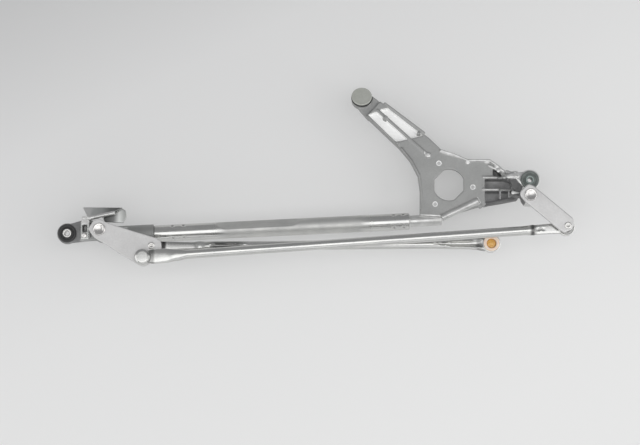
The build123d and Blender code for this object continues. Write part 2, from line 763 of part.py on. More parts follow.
def make_motor_bracket():
    housing_top = right_crank_z - crank_t / 2 - 4.0
    with BuildPart() as bracket:
        # plate with its skirt
        with BuildSketch(Plane.XY.offset(skirt_bottom)):
            with BuildLine():
                Polyline(*plate_outline, close=True)
            make_face()
        extrude(amount=plate_top - skirt_bottom)
        with BuildSketch(Plane.XY.offset(skirt_bottom)):
            with BuildLine():
                Polyline(*plate_outline, close=True)
            make_face()
            offset(amount=-3.0, kind=Kind.INTERSECTION)
        extrude(amount=plate_top - plate_t - skirt_bottom, mode=Mode.SUBTRACT)
        # recessed floors of the arm, either side of its middle rib
        with BuildSketch(Plane.XY.offset(plate_top - 6.5)):
            for corners in arm_pockets:
                with BuildLine():
                    Polyline(*corners, close=True)
                make_face()
        extrude(amount=10.0, mode=Mode.SUBTRACT)
        with BuildSketch(Plane.XY.offset(plate_top - 9.0)):
            with BuildLine():
                Polyline(*arm_floor, close=True)
            make_face()
        extrude(amount=2.5)
        # the tab between the arm's floors and its eye lies lower
        with BuildSketch(arm_plane.offset(plate_top - 8.0)):
            with Locations((6.0, 0)):
                Rectangle(30.0, 60.0)
        extrude(amount=12.0, mode=Mode.SUBTRACT)
        # box-shaped right section
        with BuildSketch(Plane.XY.offset(skirt_bottom - 8.0)):
            with BuildLine():
                Polyline(*box_outline, close=True)
            make_face()
        extrude(amount=plate_top - skirt_bottom + 8.0)
        with BuildSketch(Plane.XY.offset(skirt_bottom - 4.5)):
            for corners in box_pockets:
                with BuildLine():
                    Polyline(*corners, close=True)
                make_face()
            fillet(vertices(), 1.4)
        extrude(amount=60.0, mode=Mode.SUBTRACT)
        # ribs and raised edges on the top
        for start, end, width, rise in plate_ribs:
            add(wall(start, end, width, plate_top - plate_t / 2, plate_top + rise).part)
        with BuildSketch(section(link_frame(edge_bar_start, edge_bar_angle, edge_bar_z), 0.0)):
            Circle(edge_bar_r)
        extrude(amount=edge_bar_length)
        for start, end in zip(left_rim, left_rim[1:]):
            add(wall(start, end, 2.4, plate_top - plate_t / 2, plate_top + 1.4).part)
        add(wall(arm_rib[0], arm_rib[1], 3.0, plate_top - 8.0, plate_top + 0.8).part)
        add(wall((531.0, 77.4), (546.0, 72.0), 4.0, plate_top - 15.0, right_eye_z).part)
        # right pivot housing, its eye and the webs between them
        with BuildSketch(Plane.XY.offset(right_housing_bottom)):
            with Locations(right_pivot):
                Circle(right_housing_r)
        extrude(amount=housing_top - right_housing_bottom, taper=-0.4)
        with BuildSketch(Plane.XY.offset(right_eye_z - eye_t / 2)):
            with Locations(right_eye):
                Circle(eye_r + 0.4)
            with Locations((right_pivot[0], (right_pivot[1] + right_eye[1]) / 2)):
                Rectangle(20.0, right_eye[1] - right_pivot[1])
            with BuildLine():
                Polyline((right_eye[0], right_eye[1] + 12.0), (536.0, 74.5), (530.0, 72.0),
                         (544.0, 46.0), (559.0, 46.0), close=True)
            make_face()
        extrude(amount=eye_t)
        add(wall((540.0, 70.0), (552.0, 56.0), 4.0, skirt_bottom, right_eye_z).part)
        add(wall((538.0, 48.0), (552.0, 44.0), 5.0, skirt_bottom, right_eye_z + 10.0).part)
        add(wall((552.0, 62.0), (557.0, 50.0), 4.0, skirt_bottom - 4.0, right_eye_z).part)
        # spigot for the frame tube
        with BuildSketch(section(frame_line, frame_tube_ends[1] - 38.0)):
            Circle(spigot_r)
        extrude(amount=39.0)
        with BuildSketch(section(frame_line, frame_tube_ends[1])):
            Circle(7.4)
        extrude(amount=43.0)
        # eye at the arm's tip
        with BuildSketch(arm_tip.offset(-eye_t / 2)):
            Circle(eye_r)
        extrude(amount=eye_t)
        with BuildSketch(arm_plane.offset(arm_eye_z - 5.0)):
            with BuildLine():
                Polyline((4.0, 12.0), (26.0, 13.5), (26.0, -15.0), (4.0, -12.5), close=True)
            make_face()
        extrude(amount=11.0)
        # small posts and the boss on the arm
        for spot, radius in (((388.6, 117.9), 2.0), ((416.5, 130.6), 2.0), ((373.2, 151.4), 3.2),
                             ((428.8, 101.7), 3.0)):
            with Locations(Location((spot[0], spot[1], plate_top - 3.0))):
                Cylinder(radius, 9.4)
        # holes: motor opening, motor bolts, bush bore, eyes
        with BuildSketch(Plane.XY.offset(skirt_bottom)):
            with Locations(motor_centre):
                Circle(20.8)
                Rectangle(38.2, 44.0, mode=Mode.INTERSECT)
                Rectangle(60.0, 37.4, rotation=45.0, mode=Mode.INTERSECT)
        extrude(amount=40.0, mode=Mode.SUBTRACT)
        with Locations(Location((motor_centre[0], motor_centre[1], plate_top))):
            with PolarLocations(motor_bolt_circle_r, 3, start_angle=motor_bolt_start):
                Cylinder(motor_bolt_r, 40.0, mode=Mode.SUBTRACT)
        with Locations(Location((right_pivot[0], right_pivot[1], 0))):
            Cylinder(bush_r, 300, mode=Mode.SUBTRACT)
            Cylinder(housing_clear_r, 2 * right_housing_bottom, mode=Mode.SUBTRACT)
        with Locations(Location((right_eye[0], right_eye[1], right_eye_z))):
            Cylinder(grommet_waist_r, 60.0, mode=Mode.SUBTRACT)
        with Locations(arm_tip.location):
            Cylinder(grommet_waist_r, 40.0, mode=Mode.SUBTRACT)
        add(flange_room(eye_planes["arm"], arm_disc_r), mode=Mode.SUBTRACT)
        add(flange_room(eye_planes["right"], grommet_r), mode=Mode.SUBTRACT)
        add(crimps(right_crimps), mode=Mode.SUBTRACT)
    return bracket


save(make_motor_bracket(), "motor_bracket")

# ---- rubber grommets and steel sleeves in the three eyes ----

def make_grommet(plane):
    """A spool-shaped rubber isolator snapped into an eye."""
    half = eye_t / 2
    full = half + grommet_flange_t
    outline = [(sleeve_r, -full), (grommet_r - 1.0, -full), (grommet_r, -full + 1.0),
               (grommet_r, -half), (grommet_waist_r, -half), (grommet_waist_r, half),
               (grommet_r, half), (grommet_r, full - 1.0), (grommet_r - 1.0, full), (sleeve_r, full)]
    side = Plane(origin=plane.origin, x_dir=plane.x_dir, z_dir=-plane.y_dir)
    with BuildPart() as grommet:
        with BuildSketch(side):
            with BuildLine():
                Polyline(*outline, close=True)
            make_face()
        revolve(axis=Axis(plane.origin, plane.z_dir))
    return grommet


def make_sleeve(plane, closed):
    """A steel sleeve through a grommet; the arm's one carries a closed disc on its top."""
    full = eye_t / 2 + grommet_flange_t + 1.0
    side = Plane(origin=plane.origin, x_dir=plane.x_dir, z_dir=-plane.y_dir)
    if closed:
        outline = [(sleeve_bore_r, -full), (sleeve_r, -full), (sleeve_r, full - 1.0),
                   (arm_disc_r - 0.6, full - 1.0), (arm_disc_r, full - 0.5), (arm_disc_r, full + 0.6),
                   (arm_disc_r - 0.8, full + 1.4), (0, full + 1.4), (0, full - 3.0),
                   (sleeve_bore_r, full - 3.0)]
    else:
        outline = [(sleeve_bore_r, -full), (sleeve_r, -full), (sleeve_r, full),
                   (sleeve_bore_r + 0.6, full), (sleeve_bore_r, full - 0.6)]
    with BuildPart() as sleeve:
        with BuildSketch(side):
            with BuildLine():
                Polyline(*outline, close=True)
            make_face()
        revolve(axis=Axis(plane.origin, plane.z_dir))
    return sleeve


for place, plane in eye_planes.items():
    save(make_grommet(plane), f"{place}_grommet")
    save(make_sleeve(plane, place == "arm"), f"{place}_sleeve")
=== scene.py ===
import json
from math import cos, hypot, pi, radians, sin

import bmesh
import bpy
from mathutils import Matrix, Vector


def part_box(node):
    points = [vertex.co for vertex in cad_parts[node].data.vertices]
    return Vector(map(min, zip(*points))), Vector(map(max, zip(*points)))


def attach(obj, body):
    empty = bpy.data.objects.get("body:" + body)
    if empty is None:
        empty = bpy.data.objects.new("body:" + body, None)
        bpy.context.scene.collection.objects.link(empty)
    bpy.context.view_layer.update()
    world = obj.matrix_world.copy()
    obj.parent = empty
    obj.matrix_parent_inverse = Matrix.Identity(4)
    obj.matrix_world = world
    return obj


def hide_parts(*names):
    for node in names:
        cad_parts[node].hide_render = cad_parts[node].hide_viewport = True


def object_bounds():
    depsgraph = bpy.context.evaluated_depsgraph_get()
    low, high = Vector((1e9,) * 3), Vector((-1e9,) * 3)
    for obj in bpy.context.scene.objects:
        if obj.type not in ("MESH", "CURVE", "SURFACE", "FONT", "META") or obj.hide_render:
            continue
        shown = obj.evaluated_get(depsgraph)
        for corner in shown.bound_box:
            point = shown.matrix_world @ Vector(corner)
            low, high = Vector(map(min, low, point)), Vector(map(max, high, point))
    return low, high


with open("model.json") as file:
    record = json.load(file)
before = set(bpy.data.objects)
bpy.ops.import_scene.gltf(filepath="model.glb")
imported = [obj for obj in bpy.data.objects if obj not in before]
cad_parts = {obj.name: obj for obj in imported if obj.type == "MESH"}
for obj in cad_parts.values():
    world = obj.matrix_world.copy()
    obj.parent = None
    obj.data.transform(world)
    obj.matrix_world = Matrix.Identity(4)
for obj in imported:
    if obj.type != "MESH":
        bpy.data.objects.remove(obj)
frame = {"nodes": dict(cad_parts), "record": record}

cad_lo, cad_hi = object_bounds()
MM = 0.001
scene = bpy.context.scene

# ---- camera: almost overhead, with a long lens ----
CAMERA_ELEVATION = 82.0
CAMERA_DISTANCE = 2.8
FIELD_WIDTH = 0.832
CAMERA_TARGET = Vector((0.28674, 0.00907, 0.072))


def make_camera():
    data = bpy.data.cameras.new("camera")
    data.sensor_width = 36.0
    data.lens = data.sensor_width * CAMERA_DISTANCE / FIELD_WIDTH
    data.clip_start = 0.1
    data.clip_end = 30.0
    camera = bpy.data.objects.new("camera", data)
    scene.collection.objects.link(camera)
    tilt = radians(CAMERA_ELEVATION)
    back = Vector((0.0, -cos(tilt), sin(tilt)))
    camera.location = CAMERA_TARGET + back * CAMERA_DISTANCE
    camera.rotation_mode = "QUATERNION"
    camera.rotation_quaternion = (-back).to_track_quat("-Z", "Y")
    scene.camera = camera


# ---- node helpers ----
def new_material(name, metallic, sockets=None):
    """A material with its constant values set on the shader's own sockets."""
    made = bpy.data.materials.new(name)
    made.use_nodes = True
    shader = made.node_tree.nodes["Principled BSDF"]
    shader.inputs["Metallic"].default_value = metallic
    for socket, value in (sockets or {}).items():
        shader.inputs[socket].default_value = value
    return made, made.node_tree, shader


def noise(tree, scale, detail=4.0, stretch=(1.0, 1.0, 1.0), roughness=0.55):
    """Noise in the piece's own coordinates; scale is in waves per metre."""
    place = tree.nodes.new("ShaderNodeTexCoord")
    turn = tree.nodes.new("ShaderNodeMapping")
    turn.inputs["Scale"].default_value = stretch
    tree.links.new(place.outputs["Object"], turn.inputs["Vector"])
    made = tree.nodes.new("ShaderNodeTexNoise")
    made.inputs["Scale"].default_value = scale
    made.inputs["Detail"].default_value = detail
    made.inputs["Roughness"].default_value = roughness
    tree.links.new(turn.outputs["Vector"], made.inputs["Vector"])
    return made.outputs["Fac"]


def ramp(tree, factor, stops):
    """Colours or grey values between stops, as (position, value) pairs."""
    made = tree.nodes.new("ShaderNodeValToRGB")
    tree.links.new(factor, made.inputs["Fac"])
    points = made.color_ramp.elements
    while len(points) < len(stops):
        points.new(0.5)
    for point, (position, value) in zip(points, stops):
        point.position = position
        tone = value if isinstance(value, tuple) else (value, value, value)
        point.color = (*tone, 1.0)
    return made.outputs["Color"]


def mixed(tree, first, second, blend):
    """Two colours or values, fully blended."""
    made = tree.nodes.new("ShaderNodeMix")
    made.data_type = "RGBA"
    made.blend_type = blend
    made.inputs["Factor"].default_value = 1.0
    tree.links.new(first, made.inputs["A"])
    tree.links.new(second, made.inputs["B"])
    return made.outputs["Result"]


def multiplied(tree, first, second):
    return mixed(tree, first, second, "MULTIPLY")


def bump(tree, shader, height, distance, strength):
    """A fine surface texture; distance is in metres."""
    made = tree.nodes.new("ShaderNodeBump")
    made.inputs["Strength"].default_value = strength
    made.inputs["Distance"].default_value = distance
    tree.links.new(height, made.inputs["Height"])
    tree.links.new(made.outputs["Normal"], shader.inputs["Normal"])


def link(tree, output, shader, socket):
    """Drives one of the shader's sockets."""
    tree.links.new(output, shader.inputs[socket])


# ---- materials ----
def toned(tree, factor, low, high):
    """Two tones or values, mixed by noise; the stops trim the noise's rare extremes."""
    return ramp(tree, factor, [(0.3, low), (0.7, high)])


def along_x(tree, start, span):
    """Nought to one along the linkage, over a span that starts at an X, both in mm."""
    place = tree.nodes.new("ShaderNodeTexCoord")
    turn = tree.nodes.new("ShaderNodeMapping")
    turn.inputs["Location"].default_value = (-start / span, 0.0, 0.0)
    turn.inputs["Scale"].default_value = (1.0 / (span * MM), 1.0, 1.0)
    tree.links.new(place.outputs["Object"], turn.inputs["Vector"])
    made = tree.nodes.new("ShaderNodeTexGradient")
    tree.links.new(turn.outputs["Vector"], made.inputs["Vector"])
    return made.outputs["Fac"]


def cast_aluminium():
    made, tree, shader = new_material("cast_aluminium", 0.6)
    cloud = noise(tree, 30.0)
    speck = noise(tree, 900.0, 3.0, roughness=0.7)
    body = toned(tree, cloud, (0.325, 0.328, 0.322), (0.375, 0.377, 0.370))
    flecks = ramp(tree, speck, [(0.35, 0.9), (0.55, 1.0), (0.75, 1.06)])
    link(tree, multiplied(tree, body, flecks), shader, "Base Color")
    link(tree, toned(tree, cloud, 0.52, 0.46), shader, "Roughness")
    bump(tree, shader, speck, 0.2 * MM, 0.3)
    return made


def milled_and_bolt_light_aluminium():
    """The arm's bright milled floors; the bolt collars get the same bright tone as painted light for the lit
    floor seen through the holes.
    """
    made, tree, shader = new_material("milled_and_bolt_light_aluminium", 0.08)
    lines = noise(tree, 700.0, 3.0, (0.15, 1.0, 1.0))
    link(tree, toned(tree, lines, (0.93, 0.93, 0.92), (0.98, 0.98, 0.97)), shader, "Base Color")
    link(tree, toned(tree, lines, 0.34, 0.28), shader, "Roughness")
    bump(tree, shader, lines, 0.04 * MM, 0.2)
    return made


def painted_highlight_casting():
    """Ribs, rims and bars of the casting, made lighter as a painted highlight."""
    made, tree, shader = new_material("painted_highlight_casting", 0.7)
    cloud = noise(tree, 120.0)
    link(tree, toned(tree, cloud, (0.52, 0.52, 0.51), (0.68, 0.68, 0.67)), shader, "Base Color")
    link(tree, toned(tree, cloud, 0.38, 0.30), shader, "Roughness")
    return made


def dark_casting(name, dark, light):
    """Darker casting: painted shade in the pockets and on the webs, and the ear's darker tone."""
    made, tree, shader = new_material(name, 0.3)
    cloud = noise(tree, 110.0)
    link(tree, toned(tree, cloud, dark, light), shader, "Base Color")
    link(tree, toned(tree, cloud, 0.6, 0.5), shader, "Roughness")
    return made


def pale_acetal():
    made, tree, shader = new_material("pale_acetal", 0.0, {"Roughness": 0.4})
    link(tree, toned(tree, noise(tree, 300.0), (0.42, 0.42, 0.41), (0.50, 0.50, 0.49)), shader, "Base Color")
    return made


def weathered_rubber():
    """The right grommet: dusty, greenish grey rubber."""
    made, tree, shader = new_material("weathered_rubber", 0.0, {"Specular IOR Level": 0.6})
    cloud = noise(tree, 160.0, 5.0)
    link(tree, toned(tree, cloud, (0.085, 0.100, 0.094), (0.17, 0.19, 0.18)), shader, "Base Color")
    link(tree, toned(tree, cloud, 0.36, 0.55), shader, "Roughness")
    bump(tree, shader, noise(tree, 900.0, 3.0), 0.1 * MM, 0.4)
    return made


# bands across a tube, of painted shade on the links: from X, to X, share that is left of the tone, width of
# the soft edges, in mm
BAND_SPAN = 700.0
LONG_LINK_SHADE_BANDS = [(560.0, 565.5, 0.25, 1.0), (66.0, 71.0, 0.5, 2.5)]
DRIVE_LINK_SHADE_BANDS = [(80.5, 85.5, 0.12, 2.0), (492.0, 499.0, 0.6, 3.0), (150.0, 180.0, 0.42, 14.0),
                    (92.0, 124.0, 0.8, 4.0)]
FRAME_TUBE_DULLED = (165.0, 338.0, 0.42, 22.0)
# dark and light tone, then least and greatest roughness
TUBE_FINISH = ((0.57, 0.57, 0.56), (0.64, 0.64, 0.62), 0.20, 0.26)
CRANK_FINISH = ((0.585, 0.58, 0.575), (0.645, 0.64, 0.635), 0.38, 0.44)
STAY_FINISH = ((0.46, 0.47, 0.46), (0.58, 0.59, 0.57), 0.26, 0.34)
HARDWARE_FINISH = ((0.66, 0.65, 0.63), (0.76, 0.75, 0.73), 0.26, 0.36)
SHAFT_FINISH = ((0.62, 0.61, 0.60), (0.72, 0.70, 0.68), 0.2, 0.3)
DISC_FINISH = ((0.44, 0.45, 0.41), (0.52, 0.53, 0.49), 0.5, 0.6)
GREENISH_FINISH = ((0.20, 0.24, 0.23), (0.34, 0.39, 0.37), 0.3, 0.45)
# noise stretched along X into draw lines, or left round
DRAWN = (0.04, 1.0, 1.0)
EVEN = (1.0, 1.0, 1.0)


def band(tree, low, high, share, soft):
    """One away from a band between two X, and the given share inside it."""
    places = (low - soft, low, high, high + soft)
    stops = [(x / BAND_SPAN, level) for x, level in zip(places, (1.0, share, share, 1.0))]
    return ramp(tree, along_x(tree, 0.0, BAND_SPAN), stops)


def plated_steel(name, finish, grain=EVEN, metallic=1.0, shade_bands=(), dulled=None):
    """Zinc-plated steel with a fine grain and faint blotches, darker in bands of painted shade along X, or
    duller in a band.
    """
    dark, light, rough_low, rough_high = finish
    made, tree, shader = new_material(name, metallic)
    lines = noise(tree, 420.0, 3.0, grain)
    cloud = noise(tree, 40.0, 3.0)
    colour = multiplied(tree, toned(tree, cloud, dark, light), toned(tree, lines, 0.94, 1.03))
    for shade_band in shade_bands:
        colour = multiplied(tree, colour, band(tree, *shade_band))
    link(tree, colour, shader, "Base Color")
    rough = toned(tree, cloud, rough_high, rough_low)
    if dulled:
        rough = mixed(tree, rough, band(tree, *dulled), "DIVIDE")
    link(tree, rough, shader, "Roughness")
    bump(tree, shader, lines, 0.03 * MM, 0.2)
    return made


# the folded stay's painted shading and highlight: X in mm, then the share of the steel's tone there
STAY_START = -50.0
STAY_SPAN = 100.0
FOOT_PAINTED_SHADING = [(6.0, 0.12), (17.0, 0.30), (24.0, 1.0), (30.0, 0.62), (40.0, 0.34)]
WING_PAINTED_SHADING = [(-12.0, 0.95), (2.0, 0.80), (12.0, 0.42), (30.0, 0.30)]


def folded_steel(name, shares):
    """The folded stay's steel, with painted shade and a painted highlight that change along X."""
    made, tree, shader = new_material(name, 1.0)
    cloud = noise(tree, 90.0, 3.0)
    steel = toned(tree, cloud, (0.62, 0.63, 0.62), (0.72, 0.73, 0.71))
    stops = [((x - STAY_START) / STAY_SPAN, share) for x, share in shares]
    fade = ramp(tree, along_x(tree, STAY_START, STAY_SPAN), stops)
    link(tree, multiplied(tree, steel, fade), shader, "Base Color")
    link(tree, toned(tree, cloud, 0.36, 0.28), shader, "Roughness")
    return made


def socket_plastic():
    """The free socket's warm, slightly translucent ring."""
    sockets = {"Roughness": 0.42, "Specular IOR Level": 0.45, "Subsurface Weight": 0.25,
               "Subsurface Radius": (2.0 * MM, 1.2 * MM, 0.8 * MM)}
    made, tree, shader = new_material("socket_plastic", 0.0, sockets)
    link(tree, toned(tree, noise(tree, 300.0), (0.80, 0.64, 0.52), (0.88, 0.74, 0.63)), shader, "Base Color")
    bump(tree, shader, noise(tree, 1500.0), 0.05 * MM, 0.3)
    return made


def bush_plastic():
    made, tree, shader = new_material("bush_plastic", 0.0, {"Roughness": 0.5})
    link(tree, toned(tree, noise(tree, 300.0), (0.58, 0.55, 0.46), (0.68, 0.65, 0.56)), shader, "Base Color")
    return made


def rubber():
    made, tree, shader = new_material("rubber", 0.0, {"Specular IOR Level": 0.5})
    cloud = noise(tree, 250.0, 5.0)
    link(tree, toned(tree, cloud, 0.018, 0.038), shader, "Base Color")
    link(tree, toned(tree, cloud, 0.42, 0.62), shader, "Roughness")
    bump(tree, shader, noise(tree, 1800.0, 3.0), 0.08 * MM, 0.4)
    return made


def grease():
    """Amber grease with a wet, lumpy surface."""
    sockets = {"Roughness": 0.12, "Coat Weight": 0.6, "Coat Roughness": 0.05}
    made, tree, shader = new_material("grease", 0.0, sockets)
    link(tree, toned(tree, noise(tree, 400.0), (0.62, 0.33, 0.06), (0.80, 0.50, 0.15)), shader, "Base Color")
    bump(tree, shader, noise(tree, 350.0, 2.0), 0.8 * MM, 0.6)
    return made


MILLED_AND_BOLT_LIGHT = milled_and_bolt_light_aluminium()
PAINTED_HIGHLIGHT = painted_highlight_casting()
# painted shade for the bracket's pockets and webs, at a lighter and a darker depth
POCKET_SHADE = dark_casting("painted_pocket_shade_casting", 0.32, 0.50)
SHADED = dark_casting("shaded_casting", 0.10, 0.17)
DARKER_EAR = dark_casting("darker_ear_casting", 0.17, 0.26)
DULL_STEEL = plated_steel("dull_green_steel", GREENISH_FINISH, metallic=0.6)
LONG_LINK_STEEL = plated_steel("long_link_steel", TUBE_FINISH, DRAWN, shade_bands=LONG_LINK_SHADE_BANDS)
DRIVE_LINK_STEEL = plated_steel("drive_link_steel", TUBE_FINISH, DRAWN, shade_bands=DRIVE_LINK_SHADE_BANDS)
PALE_ACETAL = pale_acetal()
# the stay's foot and wing steel carry painted shade and a painted highlight along X
FOOT_STEEL = folded_steel("foot_steel", FOOT_PAINTED_SHADING)
WING_STEEL = folded_steel("wing_steel", WING_PAINTED_SHADING)
WEATHERED = weathered_rubber()
SLOT_MATERIALS = {
    "cast_aluminium": cast_aluminium(),
    "zinc_steel_tube": plated_steel("zinc_steel_tube", TUBE_FINISH, DRAWN, dulled=FRAME_TUBE_DULLED),
    "plated_plate": plated_steel("plated_plate", CRANK_FINISH, metallic=0.7),
    "stay_steel": plated_steel("stay_steel", STAY_FINISH, DRAWN),
    "hardware_steel": plated_steel("hardware_steel", HARDWARE_FINISH),
    "shaft_steel": plated_steel("shaft_steel", SHAFT_FINISH),
    "disc_steel": plated_steel("disc_steel", DISC_FINISH, metallic=0.3),
    "bush_plastic": bush_plastic(),
    "socket_plastic": socket_plastic(),
    "rubber": rubber(),
    "grease": grease(),
}
NODE_SLOT = {row["node"]: row["material_slot"] for row in frame["record"]["subparts"]}
NODE_BODY = {node: body for body, nodes in frame["record"]["behaviour"]["bodies"].items() for node in nodes}

# ---- layout, in millimetres, as on the drawing of the parts ----
LEFT_PIVOT = Vector((0.0, 0.0, 0.0))
RIGHT_PIVOT = Vector((559.0, 42.0, 0.0))
LINK_LENGTH = 549.0
LINK_ANGLE = 4.02
DRIVE_LENGTH = 442.0
DRIVE_ANGLE = 0.5
RIGHT_CRANK_ANGLE = -40.2
LINK_Z = 83.0
DRIVE_Z = 62.0
LEFT_CRANK_Z = 72.0
RIGHT_CRANK_Z = 94.0
CRANK_HALF = 2.0
LEFT_THREAD_Z = 0.0
RIGHT_THREAD_Z = 24.0
LEFT_HOUSING_BOTTOM = 22.0
RIGHT_HOUSING_BOTTOM = 58.0
TUBE_R = 11.0
BALL_R = 6.0
NECK_R = 3.6
LOOSE_BALL_R = 5.5
LOOSE_NECK_R = 3.2
PLATE_TOP = 49.5
MOTOR_CENTRE = Vector((456.2, 62.3, 0.0))
ARM_EYE = Vector((342.0, 178.5, 37.0))
ARM_TILT = 20.0
LEFT_EYE_Z = 52.0
RIGHT_EYE_Z = 66.0
SEAM = 0.002


def centre_mm(node):
    """The middle of a CAD node's box, in millimetres."""
    low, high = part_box(node)
    return (low + high) / 2 / MM


def polar(centre, reach, angle):
    """A point at a distance and an angle in plan from a centre."""
    return centre + Vector((reach * cos(radians(angle)), reach * sin(radians(angle)), 0.0))


LINK_STUD = polar(LEFT_PIVOT, 69.0, -33.3)
DRIVE_STUD = polar(LEFT_PIVOT, 71.2, -17.4)
LOOSE_STUD = polar(RIGHT_PIVOT, 62.0, RIGHT_CRANK_ANGLE)


def axes(origin, angle=0.0, tilt=0.0):
    """A local frame: X turned by angle in plan, Z tilted towards +Y."""
    turn = Matrix.Rotation(radians(angle), 4, "Z") @ Matrix.Rotation(radians(-tilt), 4, "X")
    return Matrix.Translation(origin) @ turn


# ---- mesh helpers: every shape is made in millimetres and scaled once, in finished() ----
def painted(piece, materials, choose):
    """Adds materials to a piece; choose gives the one for a face's middle in mm, or nothing."""
    for material in materials:
        piece.data.materials.append(material)
    for face in piece.data.polygons:
        material = choose(*(face.center / MM))
        if material:
            face.material_index = 1 + materials.index(material)


def finished(name, made, node, material=None, sharp=34.0):
    """Turns a bmesh into a smooth-shaded piece that stands for a CAD node."""
    bmesh.ops.recalc_face_normals(made, faces=made.faces)
    for edge in made.edges:
        edge.smooth = len(edge.link_faces) == 2 and edge.calc_face_angle(0.0) < radians(sharp)
    for face in made.faces:
        face.smooth = True
    mesh = bpy.data.meshes.new(name)
    made.to_mesh(mesh)
    made.free()
    mesh.transform(Matrix.Scale(MM, 4))
    return placed(name, mesh, node, material)


def placed(name, mesh, node, material=None):
    """Adds a mesh to the scene in place of a CAD node, on its body and in its material slot."""
    piece = bpy.data.objects.new(name, mesh)
    scene.collection.objects.link(piece)
    mesh.materials.append(material or SLOT_MATERIALS[NODE_SLOT[node]])
    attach(piece, NODE_BODY[node])
    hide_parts(node)
    return piece


def skin(made, rings, closed=False):
    """Joins rings of points with faces and caps the ends; closed joins the last ring to the first instead."""
    rows = [[made.verts.new(point) for point in ring] for ring in rings]
    pairs = list(zip(rows, rows[1:])) + ([(rows[-1], rows[0])] if closed else [])
    for low, high in pairs:
        for i in range(len(low)):
            j = (i + 1) % len(low)
            made.faces.new((low[i], low[j], high[j], high[i]))
    if not closed:
        made.faces.new(rows[0])
        made.faces.new(rows[-1])


def rounding(before, corner, after, size, share, steps):
    """The points that round a corner by about size, taking at most a share of the edges beside it."""
    back = before - corner
    ahead = after - corner
    start = corner + back.normalized() * min(size, share * back.length)
    end = corner + ahead.normalized() * min(size, share * ahead.length)
    points = []
    for i in range(steps + 1):
        t = i / steps
        points.append(start * (1 - t) ** 2 + corner * 2 * t * (1 - t) + end * t * t)
    return points


def softened(points, size):
    """An open outline with its inner corners rounded."""
    points = [Vector(point) for point in points]
    made = [points[0]]
    for before, corner, after in zip(points, points[1:], points[2:]):
        made += rounding(before, corner, after, size, 0.45, 3)
    return made + [points[-1]]


def rounded(points, size):
    """A closed outline with every corner rounded."""
    points = [Vector(point) for point in points]
    made = []
    for i, corner in enumerate(points):
        made += rounding(points[i - 1], corner, points[(i + 1) % len(points)], size, 0.4, 4)
    return made


def lathe(made, place, profile, soft, steps=64):
    """Revolves (radius, height) points about a frame's Z axis; a ring when it ends where it starts."""
    closed = tuple(profile[0]) == tuple(profile[-1])
    outline = softened(profile, soft)
    if closed:
        outline = outline[:-1]
    rings = []
    for radius, height in outline:
        radius = max(radius, 0.02)
        turn = [2 * pi * i / steps for i in range(steps)]
        rings.append([place @ Vector((radius * cos(t), radius * sin(t), height)) for t in turn])
    skin(made, rings, closed=closed)


def turned(name, node, place, profile, soft, material=None):
    """A revolved piece that stands for a CAD node."""
    made = bmesh.new()
    lathe(made, place, profile, soft)
    return finished(name, made, node, material)


def keyed(keys, s):
    """Values eased between keys, each given as (distance, values...)."""
    if s <= keys[0][0]:
        return keys[0][1:]
    for low, high in zip(keys, keys[1:]):
        if s <= high[0]:
            t = (s - low[0]) / (high[0] - low[0])
            t = t * t * (3 - 2 * t)
            return [p + (q - p) * t for p, q in zip(low[1:], high[1:])]
    return keys[-1][1:]


def pressed_bar(made, place, keys, step, count=56):
    """A drawn bar along X, whose section changes between its keys.

    Each key holds a distance, half width, half height, squareness, groove depth and groove half width.
    """
    start, end = keys[0][0], keys[-1][0]
    rings = []
    stations = int((end - start) / step)
    for i in range(stations + 1):
        s = start + (end - start) * i / stations
        half_width, half_height, power, depth, groove = keyed(keys, s)
        ring = []
        for k in range(count):
            turn = 2 * pi * k / count
            y = half_width * abs(cos(turn)) ** (2 / power) * (1 if cos(turn) > 0 else -1)
            z = half_height * abs(sin(turn)) ** (2 / power) * (1 if sin(turn) > 0 else -1)
            if sin(turn) > 0 and groove > 0:
                inside = max(0.0, 1 - (y / groove) ** 2)
                z -= depth * inside * inside * (3 - 2 * inside)
            ring.append(place @ Vector((s, y, z)))
        rings.append(ring)
    skin(made, rings)


def capsule(made, start, end, radius, count=16):
    """A round bar with domed ends between two points."""
    along = end - start
    place = Matrix.Translation(start) @ along.to_track_quat("X", "Z").to_matrix().to_4x4()
    dome = [(-radius * cos(a), radius * sin(a)) for a in (0.15, 0.5, 0.95, pi / 2)]
    stations = dome + [(along.length - x, r) for x, r in reversed(dome)]
    rings = []
    for x, r in stations:
        turn = [2 * pi * i / count for i in range(count)]
        rings.append([place @ Vector((x, r * cos(t), r * sin(t))) for t in turn])
    skin(made, rings)


def mesh_of(node):
    """A CAD node's mesh with its seams joined, as a bmesh in millimetres."""
    made = bmesh.new()
    made.from_mesh(frame["nodes"][node].data)
    bmesh.ops.scale(made, vec=(1 / MM, 1 / MM, 1 / MM), verts=made.verts)
    bmesh.ops.remove_doubles(made, verts=made.verts, dist=SEAM)
    return made


def cast_from(name, node, made, voxel, smoothing, keep):
    """Fuses overlapping solids into one casting with soft edges."""
    mesh = bpy.data.meshes.new(name)
    made.to_mesh(mesh)
    made.free()
    rough = bpy.data.objects.new(name, mesh)
    scene.collection.objects.link(rough)
    fuse = rough.modifiers.new("fuse", "REMESH")
    fuse.mode = "VOXEL"
    fuse.voxel_size = voxel
    soften = rough.modifiers.new("soften", "SMOOTH")
    soften.factor = 0.5
    soften.iterations = smoothing
    thin = rough.modifiers.new("thin", "DECIMATE")
    thin.ratio = keep
    made = bmesh.new()
    made.from_object(rough, bpy.context.evaluated_depsgraph_get())
    bpy.data.objects.remove(rough)
    return finished(name, made, node, sharp=180.0)


# ---- frame tube ----
FRAME_TUBE_ORIGIN = Vector((0.0, -4.7, 38.5))
FRAME_TUBE_ANGLE = 2.85
FRAME_TUBE_START = 70.0
FRAME_TUBE_END = 404.0
